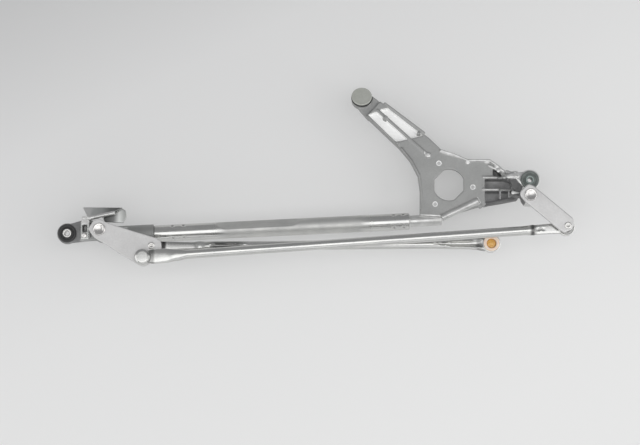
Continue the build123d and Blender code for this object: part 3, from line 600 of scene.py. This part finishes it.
# distance along the tube and depth pressed in there, then the two sides that are pressed
FLAT_KEYS = [(70.0, 0.0), (148.0, 0.0), (164.0, 2.8), (248.0, 2.8), (264.0, 0.0), (404.0, 0.0)]
FLAT_SIDES = (48.0, 228.0)
CRIMPS = [(s, turn) for s in (93.5, 108.0, 384.5, 397.0) for turn in (38.0, 142.0, 218.0, 322.0)]
CRIMP_DEPTH = 2.2
CRIMP_SPREAD = 3.2
# where the points of a ring lie round the tube, in degrees
TUBE_TURNS = [5.0 * k for k in range(72)]


def frame_tube_radius(s, turn):
    """The tube's radius at a distance and a turn in degrees, with its flats and crimps."""
    depth = keyed(FLAT_KEYS, s)[0]
    radius = TUBE_R
    for flat in FLAT_SIDES:
        away = cos(radians(turn - flat))
        if away > 0.2:
            radius = min(radius, (TUBE_R - depth) / away)
    for at, angle in CRIMPS:
        side = radians((turn - angle + 180.0) % 360.0 - 180.0) * TUBE_R
        radius -= CRIMP_DEPTH * 2.7 ** (-((s - at) ** 2 + side ** 2) / CRIMP_SPREAD)
    return radius


def tube_ring(place, s, radii):
    """A ring of points round the tube, one for each radius."""
    turns = [radians(turn) for turn in TUBE_TURNS]
    return [place @ Vector((s, radius * cos(turn), radius * sin(turn))) for radius, turn in zip(radii, turns)]


def make_frame_tube():
    place = axes(FRAME_TUBE_ORIGIN, FRAME_TUBE_ANGLE)
    mouth = [TUBE_R - 0.7] * len(TUBE_TURNS)
    length = FRAME_TUBE_END - FRAME_TUBE_START
    stations = int(length / 1.25)
    rings = [tube_ring(place, FRAME_TUBE_START - 0.3, mouth)]
    for i in range(stations + 1):
        s = FRAME_TUBE_START + length * i / stations
        rings.append(tube_ring(place, s, [frame_tube_radius(s, turn) for turn in TUBE_TURNS]))
    rings.append(tube_ring(place, FRAME_TUBE_END + 0.3, mouth))
    made = bmesh.new()
    skin(made, rings)
    finished("frame_tube_drawn", made, "frame_tube", sharp=50.0)


# ---- links ----
CUP_DEPTH = 13.9
CUP_MOUTH = 5.4
CUP_WALL = 1.5


def cup_profile(radius, way):
    """A drawn cup about its ball centre; way is the side that its mouth is on."""
    floor = CUP_MOUTH - CUP_DEPTH
    inner = radius - CUP_WALL
    points = [(0, floor), (radius * 0.70, floor), (radius * 0.76, floor + 0.5), (radius - 1.0, floor + 1.1),
              (radius, floor + 3.0), (radius, CUP_MOUTH - 1.0), (radius + 0.35, CUP_MOUTH),
              (inner, CUP_MOUTH), (inner, floor + CUP_WALL + 0.4), (0, floor + CUP_WALL)]
    return [(r, way * z) for r, z in points]


def link_places(stud, length, angle, z):
    """A link's frame at its left ball, which its bar follows, and an upright one at its right ball."""
    lift = Vector((0.0, 0.0, z))
    return axes(stud + lift, angle), axes(polar(stud, length, angle) + lift)


LINK_PLACE, LOOSE_PLACE = link_places(LINK_STUD, LINK_LENGTH, LINK_ANGLE, LINK_Z)
DRIVE_PLACE, FREE_PLACE = link_places(DRIVE_STUD, DRIVE_LENGTH, DRIVE_ANGLE, DRIVE_Z)


def make_connecting_link():
    made = bmesh.new()
    neck = 507.0
    pressed_bar(made, LINK_PLACE, [
        (5.0, 8.0, 2.6, 3.2, 0.0, 0.0), (14.0, 9.3, 2.8, 3.2, 0.0, 0.0), (28.0, 9.4, 3.2, 2.8, 0.0, 0.0),
        (44.0, 7.8, 4.8, 2.3, 0.0, 0.0), (60.0, 6.0, 6.0, 2.0, 0.0, 0.0), (495.0, 6.0, 6.0, 2.0, 0.0, 0.0),
        (503.0, 6.6, 6.2, 2.2, 0.0, 0.0), (neck, 6.9, 6.0, 2.4, 0.0, 0.0),
    ], 2.0)
    pressed_bar(made, LINK_PLACE, [
        (neck - 14.0, 6.0, 2.2, 4.0, 0.0, 0.0), (neck + 1.0, 6.3, 2.2, 4.0, 0.0, 0.0),
        (neck + 9.0, 6.5, 2.2, 4.0, 1.6, 1.8), (neck + 16.0, 6.7, 2.2, 4.0, 0.0, 1.8),
        (LINK_LENGTH - 7.0, 7.4, 2.2, 4.0, 0.0, 0.0),
    ], 1.0)
    lathe(made, LINK_PLACE, cup_profile(10.6, -1), 0.9)
    lathe(made, LOOSE_PLACE, cup_profile(10.4, 1), 0.9)
    finished("connecting_link_pressed", made, "connecting_link", LONG_LINK_STEEL)


def make_drive_link():
    made = bmesh.new()
    pressed_bar(made, DRIVE_PLACE, [
        (5.0, 7.4, 2.6, 3.4, 0.0, 0.0), (16.0, 6.4, 2.8, 3.4, 0.0, 0.0), (54.0, 5.4, 3.0, 3.4, 0.0, 0.0),
        (62.0, 6.6, 4.4, 2.6, 0.0, 0.0), (72.0, 6.0, 6.0, 2.0, 0.0, 2.0), (86.0, 6.1, 5.8, 2.0, 2.8, 2.8),
        (104.0, 6.0, 5.9, 2.0, 2.2, 2.4), (128.0, 6.0, 6.0, 2.0, 0.0, 1.6), (364.0, 6.0, 6.0, 2.0, 0.0, 1.0),
        (378.0, 6.3, 5.8, 2.0, 2.6, 1.8), (392.0, 6.8, 5.2, 2.4, 6.4, 4.2), (412.0, 7.2, 4.8, 2.6, 6.0, 4.6),
        (422.0, 8.0, 4.0, 2.8, 3.4, 5.0), (432.0, 9.6, 3.2, 3.0, 0.6, 5.6), (434.0, 10.0, 3.0, 3.0, 0.2, 5.6),
    ], 1.5)
    lathe(made, DRIVE_PLACE, cup_profile(10.4, 1), 0.9)
    lathe(made, FREE_PLACE, cup_profile(11.4, 1), 0.9)
    finished("drive_link_pressed", made, "drive_link", DRIVE_LINK_STEEL)


# ---- plastic sockets and grease ----
def make_sockets():
    loose = [(0, -7.0), (8.9, -7.0), (8.9, 5.4), (8.5, 6.0), (6.4, 6.0), (6.4, 4.6), (8.0, 4.6),
             (8.0, -5.75), (0, -5.75)]
    turned("link_right_socket_moulded", "link_right_socket", LOOSE_PLACE, loose, 0.3, PALE_ACETAL)
    free = [(0, -7.0), (9.9, -7.0), (9.9, 5.4), (10.4, 5.7), (9.8, 6.0), (6.95, 6.0), (6.25, 4.6),
            (6.25, -2.4), (0, -2.4)]
    turned("drive_free_socket_moulded", "drive_free_socket", FREE_PLACE, free, 0.6)
    mound = [(0, -4.8), (4.0, -4.8), (6.1, -2.6), (6.15, 1.2), (5.4, 2.2), (3.6, 2.4), (2.2, 3.3),
             (0.9, 3.7), (0, 3.8)]
    turned("socket_grease_mound", "socket_grease", FREE_PLACE, mound, 0.8)


# ---- ball studs ----
def make_stud(name, centre, plate_z, ball_z, radius, neck):
    """A ball stud riveted through a crank; the ball lies above or below the crank's plate."""
    way = 1 if ball_z > plate_z else -1
    near = plate_z + way * CRANK_HALF
    away = plate_z - way * CRANK_HALF
    profile = [(0, away - way * 0.2), (1.5, away - way * 0.4), (2.1, away - way * 1.15),
               (3.6, away - way * 1.2), (4.6, away - way * 0.5), (4.6, away), (3.5, away), (3.5, near),
               (6.8, near), (6.8, near + way * 1.5), (neck, near + way * 1.5)]
    ball_start = 0.5
    steps = 14
    for i in range(steps):
        turn = ball_start + (pi - ball_start) * i / steps
        profile.append((radius * sin(turn), ball_z - way * radius * cos(turn)))
    profile.append((0, ball_z + way * radius))
    turned(name + "_turned", name, axes(centre), profile, 0.35)


# ---- wiper shafts: thread, serrated taper, journal and riveted head ----
THREAD_PITCH = 1.25
THREAD_DEPTH = 0.62
TEETH = 30
TOOTH_HALF = 0.28


def shaft_outline(crank_z, lift, base):
    """Radius and height from the threaded end to the head, before the thread and the teeth are cut."""
    under = crank_z - CRANK_HALF
    over = crank_z + CRANK_HALF
    ring_top = base - 1.6
    ring_bottom = ring_top - 1.2
    threads = 56
    end = [(2.0, lift - 6.0), (3.2, lift - 6.0), (4.0, lift - 5.2)]
    thread = [(4.0, lift - 5.2 + 11.0 * i / threads) for i in range(1, threads + 1)]
    shoulder = [(4.0, lift + 6.0), (4.9, lift + 6.0), (5.05, lift + 6.6)]
    taper = [(5.05 + 0.08 * i, lift + 6.6 + i) for i in range(1, 11)]
    journal = [(6.0, lift + 18.0), (6.0, ring_bottom), (5.3, ring_bottom), (5.3, ring_top), (6.0, ring_top),
               (6.0, under - 1.0), (9.0, under - 1.0), (9.0, under), (5.0, under)]
    head = [(5.0, 0.0), (8.0, 0.0), (8.2, 0.4), (8.1, 1.3), (7.7, 2.0), (7.0, 2.4), (6.2, 2.3), (5.2, 1.9),
            (4.0, 1.5), (2.6, 1.2), (1.2, 1.05)]
    return end + thread + shoulder + taper + journal + [(r, over + z) for r, z in head]


def make_shaft(name, centre, crank_z, lift, base):
    """A wiper shaft; lift is the height of its thread's middle and base that of its housing's underside."""
    place = axes(centre)
    count = 180
    rings = []
    for radius, z in shaft_outline(crank_z, lift, base):
        threaded = lift - 5.2 < z < lift + 5.9
        toothed = lift + 6.3 < z < lift + 16.8
        ring = []
        for i in range(count):
            turn = 2 * pi * i / count
            r = radius
            if threaded:
                wave = ((z - lift) / THREAD_PITCH - turn / (2 * pi)) % 1.0
                r -= THREAD_DEPTH * abs(2 * wave - 1)
            if toothed:
                r -= TOOTH_HALF * (1 + cos(TEETH * turn))
            ring.append(place @ Vector((r * cos(turn), r * sin(turn), z)))
        rings.append(ring)
    made = bmesh.new()
    skin(made, rings)
    finished(name + "_turned", made, name)


# ---- rubber mounts ----
GROMMET_R = 12.0
ARM_GROMMET_R = 13.9
GROMMET_HALF = 7.0
EYE_HALF = 4.0
SLEEVE_BORE = 3.3
SLEEVE_R = 5.6


def make_grommet(name, place, rim=GROMMET_R, material=None):
    """A waisted grommet with a lipped bore; rim is the radius of its upper flange."""
    full = GROMMET_HALF
    half = EYE_HALF
    profile = [(SLEEVE_R, -full), (7.0, -full), (7.6, 0.5 - full), (8.4, 0.5 - full), (9.0, -full),
               (GROMMET_R - 0.8, -full), (GROMMET_R, 1.2 - full), (GROMMET_R, -half), (8.6, -half),
               (8.6, half), (rim, half), (rim, full - 1.2), (rim - 0.8, full), (9.0, full),
               (8.4, full - 0.9), (7.6, full - 0.9), (7.0, full), (SLEEVE_R, full), (SLEEVE_R, -full)]
    turned(name + "_moulded", name, place, profile, 0.7, material)


def make_sleeve(name, place, material=None):
    full = 8.0
    profile = [(SLEEVE_BORE, -full), (SLEEVE_R, -full), (SLEEVE_R, full - 0.3), (5.3, full), (3.9, full),
               (SLEEVE_BORE, full - 0.6), (SLEEVE_BORE, -full)]
    turned(name + "_turned", name, place, profile, 0.25, material)


def make_arm_sleeve(place):
    """The arm's sleeve, closed by the wide disc above its grommet."""
    top = GROMMET_HALF
    profile = [(SLEEVE_BORE, -8.0), (SLEEVE_R, -8.0), (SLEEVE_R, top), (12.9, top), (13.5, top + 0.5),
               (13.5, top + 1.5), (12.9, top + 2.1), (11.6, top + 2.2), (11.2, top + 2.0),
               (5.0, top + 2.15), (0, top + 2.2), (0, 5.0), (SLEEVE_BORE, 5.0), (SLEEVE_BORE, -8.0)]
    turned("arm_sleeve_pressed", "arm_sleeve", place, profile, 0.35)


def make_mounts():
    left = axes(Vector((*centre_mm("left_sleeve").xy, LEFT_EYE_Z)))
    right = axes(Vector((*centre_mm("right_sleeve").xy, RIGHT_EYE_Z)))
    arm = axes(ARM_EYE, tilt=ARM_TILT)
    make_grommet("left_grommet", left)
    make_grommet("right_grommet", right, material=WEATHERED)
    make_grommet("arm_grommet", arm, rim=ARM_GROMMET_R)
    make_sleeve("left_sleeve", left)
    make_sleeve("right_sleeve", right, DULL_STEEL)
    make_arm_sleeve(arm)


# ---- motor bracket: the casting with its beads, bosses, collars, finishes, painted shade and painted highlights ----
# beads: start and end in plan, radius, and height of the top above the plate
BEADS = [
    ((445.5, 106.4), (461.0, 101.4), 1.7, 1.0),
    ((463.5, 101.0), (480.0, 95.4), 1.7, 1.2),
    ((485.0, 94.6), (503.5, 94.6), 1.9, 1.6),
    ((505.0, 92.2), (508.0, 92.2), 2.0, 1.4),
    ((509.5, 87.6), (519.0, 82.6), 2.0, 1.2),
    ((518.0, 86.0), (524.0, 80.0), 2.6, 1.4),
    ((523.0, 84.0), (532.0, 77.6), 2.2, 2.0),
    ((501.5, 72.4), (518.0, 72.4), 1.6, 1.2),
    ((501.5, 55.8), (521.0, 55.8), 1.8, 1.6),
    ((529.0, 71.5), (538.0, 74.0), 2.2, 3.0),
    ((538.0, 74.0), (547.0, 73.4), 2.6, 6.0),
    ((532.0, 77.0), (545.0, 78.6), 2.2, 3.4),
    ((424.5, 105.6), (407.5, 121.2), 1.5, 0.6),
    ((403.5, 123.5), (364.5, 159.5), 1.5, -2.6),
    ((372.5, 171.5), (424.5, 131.6), 1.4, 0.4),
    ((349.5, 153.6), (387.0, 118.0), 1.4, 0.4),
    ((500.8, 40.0), (500.8, 70.0), 1.0, 0.3),
    ((523.6, 53.0), (523.6, 44.0), 1.4, -1.0),
    ((535.4, 56.0), (535.4, 45.0), 1.6, -1.2),
    ((531.4, 69.6), (541.0, 70.6), 1.8, 20.8),
    ((541.5, 70.6), (544.0, 70.0), 3.0, 21.4),
    ((544.6, 67.2), (552.0, 59.2), 1.9, 21.0),
    ((536.6, 56.0), (540.0, 45.6), 1.7, 20.6),
]
# bosses: middle in plan, radius, and height of the top above the plate
BOSSES = [((428.8, 101.7), 3.4, 1.6), ((481.0, 92.0), 2.6, 1.2), ((388.6, 117.9), 2.2, 2.0),
          ((416.5, 130.6), 2.2, 2.0), ((373.2, 151.4), 3.4, -0.8), ((497.0, 34.0), 3.2, 0.4),
          ((521.5, 81.0), 2.8, 2.2)]
# the arm's milled pockets, in plan, and the height from which they count
ARM_POCKETS = [
    [(349.4, 156.1), (361.7, 160.9), (403.8, 122.7), (386.5, 118.9)],
    [(364.6, 163.0), (376.2, 165.7), (423.9, 127.9), (407.2, 123.5)],
]
ARM_POCKET_BOTTOM = 30.0
BOLT_CIRCLE_R = 31.5
BOLTS = [polar(MOTOR_CENTRE, BOLT_CIRCLE_R, turn).xy for turn in (-5.6, 114.4, 234.4)]
BOLT_LIGHT_R = 3.5
BOLT_LIGHT_DEPTH = 6.5
# the webs' beads that get a painted highlight rise higher than this above the plate
BRIGHT_BEAD_RISE = 20.7
BRIGHT_BEAD_BOTTOM = 68.0
# the right section's areas in plan: X from, X to, Y from, Y to
LOW_POCKETS = (501.8, 552.0, 37.0, 88.0)
WEBS = (530.0, 553.0, 44.0, 80.0)
SHADED_WEBS = (533.0, 553.0, 44.0, 67.0)
WEB_BOTTOM = 60.0
WEB_TOP = 73.0
# the right section's lower wall, whose inner side climbs to the right
LOWER_WALL_LEFT = 503.0
LOWER_WALL_RIGHT = 553.0
LOWER_WALL_FOOT = (503.5, 39.2)
LOWER_WALL_SLOPE = 0.19
# the rims, the bar along the lower edge and the spigot in the frame tube
RIM_LEFT = 424.0
RIM_RISE = 0.45
EDGE_BAR = ((446.5, 18.4), (494.3, 41.2))
EDGE_BAR_HALF = 4.7
EDGE_BAR_DEPTH = 3.5
SPIGOT_RIGHT = 447.5
SPIGOT_BACK = 22.5
SPIGOT_BOTTOM = 30.0


def line_distance(x, y, start, end):
    """Distance in plan from a point to a line between two points."""
    start = Vector(start)
    along = Vector(end) - start
    share = min(1.0, max(0.0, (Vector((x, y)) - start).dot(along) / along.length_squared))
    return (start + along * share - Vector((x, y))).length


def inside(x, y, outline):
    """Whether a point in plan lies inside a convex outline, either way round."""
    signs = []
    for (ax, ay), (bx, by) in zip(outline, outline[1:] + outline[:1]):
        signs.append((bx - ax) * (y - ay) - (by - ay) * (x - ax) > 0)
    return all(signs) or not any(signs)


def within(x, y, area):
    left, right, front, back = area
    return left < x < right and front < y < back


def add_collar(made, x, y, top):
    """A rounded raised ring about a bolt hole."""
    inner = 2.5
    outer = 3.4
    bottom = top - 2.8
    profile = [(inner, bottom), (outer, bottom), (outer, top - 0.3), (outer - 0.5, top), (inner + 0.3, top),
               (inner, top - 0.3), (inner, bottom)]
    lathe(made, axes(Vector((x, y, 0.0))), profile, 0.3)


def add_boss(made, x, y, radius, top):
    profile = [(0, top - 4.0), (radius, top - 4.0), (radius, top), (0, top)]
    lathe(made, axes(Vector((x, y, 0.0))), profile, 0.8)


def machined_or_bolt_light(x, y, z):
    """Whether a face belongs to the arm's pockets, or to the bolt holes' collars, which get painted light."""
    on_boss = any(hypot(x - bx, y - by) < radius + 0.2 for (bx, by), radius, _ in BOSSES)
    in_pocket = any(inside(x, y, outline) for outline in ARM_POCKETS)
    pocket = in_pocket and not on_boss and ARM_POCKET_BOTTOM < z < PLATE_TOP - 0.5
    # the bolt collars are painted bright, standing in for the lit floor seen through the holes
    bolt_light = any(hypot(x - bx, y - by) < BOLT_LIGHT_R for bx, by in BOLTS)
    return pocket or (bolt_light and z > PLATE_TOP - BOLT_LIGHT_DEPTH)


def on_bright_bead(x, y, z):
    """Whether a face belongs to one of the webs' beads that get a painted highlight."""
    bright = [(start, end, radius) for start, end, radius, rise in BEADS if rise > BRIGHT_BEAD_RISE]
    near = any(line_distance(x, y, start, end) < radius + 0.1 for start, end, radius in bright)
    return near and z > BRIGHT_BEAD_BOTTOM


def on_lower_wall(x, y):
    foot_x, foot_y = LOWER_WALL_FOOT
    return LOWER_WALL_LEFT < x < LOWER_WALL_RIGHT and y < foot_y + (x - foot_x) * LOWER_WALL_SLOPE


def gets_painted_highlight(x, y, z):
    """Whether a face belongs to a raised rim, the bar along the lower edge or the spigot, which get a painted
    highlight.
    """
    rim = z > PLATE_TOP + RIM_RISE and x > RIM_LEFT
    bar = z > PLATE_TOP - EDGE_BAR_DEPTH and line_distance(x, y, *EDGE_BAR) < EDGE_BAR_HALF
    spigot = z > SPIGOT_BOTTOM and x < SPIGOT_RIGHT and y < SPIGOT_BACK
    return rim or bar or spigot


def bracket_finish(x, y, z):
    """The finish, painted shade or painted highlight of the bracket's face at a place, or nothing for plain
    casting.
    """
    web_height = WEB_BOTTOM < z < WEB_TOP
    low_pocket = z < PLATE_TOP - 1.0 and within(x, y, LOW_POCKETS)
    if machined_or_bolt_light(x, y, z):
        return MILLED_AND_BOLT_LIGHT
    if on_bright_bead(x, y, z):
        return PAINTED_HIGHLIGHT
    # painted shade: darkest on the lower wall and the shaded webs, lighter in the low pockets and on the
    # other webs
    if on_lower_wall(x, y) or (web_height and within(x, y, SHADED_WEBS)):
        return SHADED
    if low_pocket or (web_height and within(x, y, WEBS)):
        return POCKET_SHADE
    if gets_painted_highlight(x, y, z):
        return PAINTED_HIGHLIGHT
    return None


def make_bracket():
    made = mesh_of("motor_bracket")
    for start, end, radius, rise in BEADS:
        z = PLATE_TOP + rise - radius
        capsule(made, Vector((*start, z)), Vector((*end, z)), radius)
    for (x, y), radius, rise in BOSSES:
        add_boss(made, x, y, radius, PLATE_TOP + rise)
    for x, y in BOLTS:
        add_collar(made, x, y, PLATE_TOP + 0.3)
    piece = cast_from("motor_bracket_cast", "motor_bracket", made, 0.62, 5, 0.35)
    painted(piece, [MILLED_AND_BOLT_LIGHT, PAINTED_HIGHLIGHT, POCKET_SHADE, SHADED], bracket_finish)


# ---- cranks: thick plates with rounded edges ----
LEFT_OUTLINE = [(-14.5, 0.7), (-7.5, 12.0), (0.5, 13.2), (12.0, 7.8), (50.0, -4.2), (73.0, -11.0),
                (80.3, -16.0), (81.4, -25.5), (65.5, -45.0), (62.9, -47.0), (58.6, -48.3), (54.8, -48.0),
                (52.2, -46.8), (27.4, -32.2), (5.2, -17.6), (-6.8, -10.8)]
RIGHT_OUTLINE = [(-11.5, 9.1), (-5.5, 11.6), (61.5, 11.6), (68.0, 5.5), (68.6, -2.0), (64.5, -10.6),
                 (56.0, -11.6), (0.0, -11.6), (-10.0, -9.6), (-13.5, -5.0)]


def crank_levels(top_round, low_round):
    """How far a crank's edge is set in, and at what height, from the bottom face to the top one."""
    levels = []
    for a in (0.0, 0.5, 1.05, pi / 2):
        levels.append((low_round * (1 - sin(a)), -CRANK_HALF + low_round * (1 - cos(a))))
    for a in (0.0, 0.4, 0.8, 1.2, pi / 2):
        levels.append((top_round * (1 - cos(a)), CRANK_HALF - top_round * (1 - sin(a))))
    return levels + [(top_round + 0.4, CRANK_HALF)]


def make_crank(name, place, outline, top_round, low_round):
    """A plate with rounded edges, made of rings set in along the outline's normals."""
    points = rounded(outline, 2.6)
    rings = []
    for inset, z in crank_levels(top_round, low_round):
        ring = []
        for i, point in enumerate(points):
            along = points[(i + 1) % len(points)] - points[i - 1]
            inward = Vector((along.y, -along.x)).normalized()
            ring.append(place @ Vector((*(point + inward * inset), z)))
        rings.append(ring)
    made = bmesh.new()
    skin(made, rings)
    finished(name + "_plate", made, name, sharp=30.0)


# ---- folded stay with its rounded bend ----
# beads along the stay's ridge: start, end and radius
STAY_RIDGE = [((-14.4, 15.9, 63.6), (-2.0, 18.6, 64.0), 3.0), ((-4.0, 18.2, 64.0), (17.4, 22.8, 64.4), 2.5)]
RIDGE_LEFT = -16.0
RIDGE_Z = 65.2
RIDGE_HALF = 2.4
GUSSET_RIGHT = -12.5
GUSSET_FRONT = 7.5
WING_FRONT = 16.0
FOOT_LEFT = 4.0
FOOT_TOP = 60.0


def stay_finish(x, y, z):
    """The finish, painted highlight or painted shading of the stay's face at a place, or nothing for the
    plain steel.
    """
    near_ridge = any(line_distance(x, y, start[:2], end[:2]) < RIDGE_HALF for start, end, _ in STAY_RIDGE)
    ridge = near_ridge and z > RIDGE_Z and x > RIDGE_LEFT
    gusset = x < GUSSET_RIGHT and y > GUSSET_FRONT
    # the ridge gets a painted highlight; the gusset gets the same lighter tone for its pale colour
    if ridge or gusset:
        return PAINTED_HIGHLIGHT
    if x > FOOT_LEFT and z < FOOT_TOP:
        return FOOT_STEEL
    if x > GUSSET_RIGHT and y > WING_FRONT:
        return WING_STEEL
    return None


def make_stay():
    made = mesh_of("left_stay")
    for start, end, radius in STAY_RIDGE:
        capsule(made, Vector(start), Vector(end), radius)
    piece = cast_from("left_stay_folded", "left_stay", made, 0.42, 3, 0.4)
    painted(piece, [FOOT_STEEL, WING_STEEL, PAINTED_HIGHLIGHT], stay_finish)


# ---- left housing, with a darker tone on the ear for its mount ----
EAR_RIGHT = -26.0


def make_left_housing():
    made = mesh_of("left_pivot_housing")
    piece = cast_from("left_pivot_housing_cast", "left_pivot_housing", made, 0.7, 6, 0.3)
    painted(piece, [DARKER_EAR], lambda x, y, z: DARKER_EAR if x < EAR_RIGHT else None)


LEFT_CRANK_PLACE = axes(LEFT_PIVOT + Vector((0.0, 0.0, LEFT_CRANK_Z)))
RIGHT_CRANK_PLACE = axes(RIGHT_PIVOT + Vector((0.0, 0.0, RIGHT_CRANK_Z)), RIGHT_CRANK_ANGLE)
make_crank("left_crank", LEFT_CRANK_PLACE, LEFT_OUTLINE, 0.7, 0.4)
make_crank("right_crank", RIGHT_CRANK_PLACE, RIGHT_OUTLINE, 1.3, 0.4)
make_stay()
make_frame_tube()
make_connecting_link()
make_drive_link()
make_sockets()
make_stud("link_ball_stud", LINK_STUD, LEFT_CRANK_Z, LINK_Z, BALL_R, NECK_R)
make_stud("drive_ball_stud", DRIVE_STUD, LEFT_CRANK_Z, DRIVE_Z, BALL_R, NECK_R)
make_stud("right_ball_stud", LOOSE_STUD, RIGHT_CRANK_Z, LINK_Z, LOOSE_BALL_R, LOOSE_NECK_R)
make_shaft("left_wiper_shaft", LEFT_PIVOT, LEFT_CRANK_Z, LEFT_THREAD_Z, LEFT_HOUSING_BOTTOM)
make_shaft("right_wiper_shaft", RIGHT_PIVOT, RIGHT_CRANK_Z, RIGHT_THREAD_Z, RIGHT_HOUSING_BOTTOM)
make_mounts()
make_bracket()
make_left_housing()


# ---- small parts carried over from the CAD ----
def soften_edges(piece, width):
    """Rounds a carried-over CAD node's edges, without changing its mesh."""
    weld = piece.modifiers.new("weld", "WELD")
    weld.merge_threshold = SEAM * MM
    bevel = piece.modifiers.new("bevel", "BEVEL")
    bevel.width = width * MM
    bevel.segments = 3
    bevel.limit_method = "ANGLE"
    bevel.angle_limit = radians(35.0)
    bevel.harden_normals = True


for node, piece in frame["nodes"].items():
    piece.data.materials.clear()
    piece.data.materials.append(SLOT_MATERIALS[NODE_SLOT[node]])
for node in ("left_thrust_washer", "right_thrust_washer", "left_end_washer", "right_end_washer"):
    soften_edges(frame["nodes"][node], 0.25)


# ---- floor, world and lights ----
FLOOR_Z = cad_lo.z
FLOOR_HALF = 6.0
# the floor's tones are a painted falloff of light, and its glow is painted light that lifts the shade under
# the parts
FLOOR_FADE_TURN = 62.0
FLOOR_FADE_SHIFT = 0.5
FLOOR_GLOW = 0.24
FLOOR_LIGHT_FALLOFF = [(0.05, (0.41, 0.41, 0.41)), (0.35, (0.58, 0.58, 0.578)), (0.6, (0.63, 0.63, 0.626)),
               (0.95, (0.655, 0.655, 0.65))]
WORLD_STRENGTH = 0.36
# lamps: name, place, where each points, width, height and brightness
LAMPS = [
    ("overhead", (0.45, -0.60, 3.4), (0.35, 0.0, 0.0), 3.4, 2.2, 1.46),
    ("front_wall", (0.5, -2.8, 1.7), (0.3, 0.0, 0.0), 5.0, 2.6, 0.62),
    ("right_wall", (2.9, -0.4, 1.6), (0.3, 0.0, 0.0), 2.8, 2.6, 1.5),
    ("left_wall", (-2.4, -0.4, 1.6), (0.3, 0.0, 0.0), 2.8, 2.6, 1.1),
]


def floor_paper():
    """Pale paper with a painted falloff of light across the floor, glowing a little to lift the shade under
    the parts.
    """
    material, tree, shader = new_material("floor_paper", 0.0, {"Roughness": 0.85})
    place = tree.nodes.new("ShaderNodeTexCoord")
    turn = tree.nodes.new("ShaderNodeMapping")
    turn.inputs["Rotation"].default_value = (0.0, 0.0, radians(FLOOR_FADE_TURN))
    turn.inputs["Location"].default_value = (FLOOR_FADE_SHIFT, 0.0, 0.0)
    tree.links.new(place.outputs["Object"], turn.inputs["Vector"])
    fade = tree.nodes.new("ShaderNodeTexGradient")
    tree.links.new(turn.outputs["Vector"], fade.inputs["Vector"])
    tone = ramp(tree, fade.outputs["Fac"], FLOOR_LIGHT_FALLOFF)
    link(tree, tone, shader, "Base Color")
    link(tree, tone, shader, "Emission Color")
    shader.inputs["Emission Strength"].default_value = FLOOR_GLOW
    return material


def make_floor():
    made = bmesh.new()
    half = FLOOR_HALF
    for x, y in ((-half, -half), (half, -half), (half, half), (-half, half)):
        made.verts.new((x, y, FLOOR_Z))
    made.faces.new(made.verts)
    mesh = bpy.data.meshes.new("floor")
    made.to_mesh(mesh)
    made.free()
    floor = bpy.data.objects.new("floor", mesh)
    scene.collection.objects.link(floor)
    mesh.materials.append(floor_paper())


def make_lamp(name, place, target, width, height, radiance):
    """A soft rectangular lamp, whose power follows from its size."""
    data = bpy.data.lights.new(name, "AREA")
    data.shape = "RECTANGLE"
    data.size = width
    data.size_y = height
    data.energy = radiance * pi * width * height
    lamp = bpy.data.objects.new(name, data)
    scene.collection.objects.link(lamp)
    lamp.location = place
    lamp.rotation_mode = "QUATERNION"
    lamp.rotation_quaternion = (Vector(target) - Vector(place)).to_track_quat("-Z", "Y")


def make_world():
    world = bpy.data.worlds.new("world")
    scene.world = world
    world.use_nodes = True
    back = world.node_tree.nodes["Background"]
    back.inputs["Color"].default_value = (0.97, 0.98, 1.0, 1.0)
    back.inputs["Strength"].default_value = WORLD_STRENGTH


make_camera()
make_floor()
make_world()
for lamp in LAMPS:
    make_lamp(*lamp)
scene.view_settings.view_transform = "Standard"
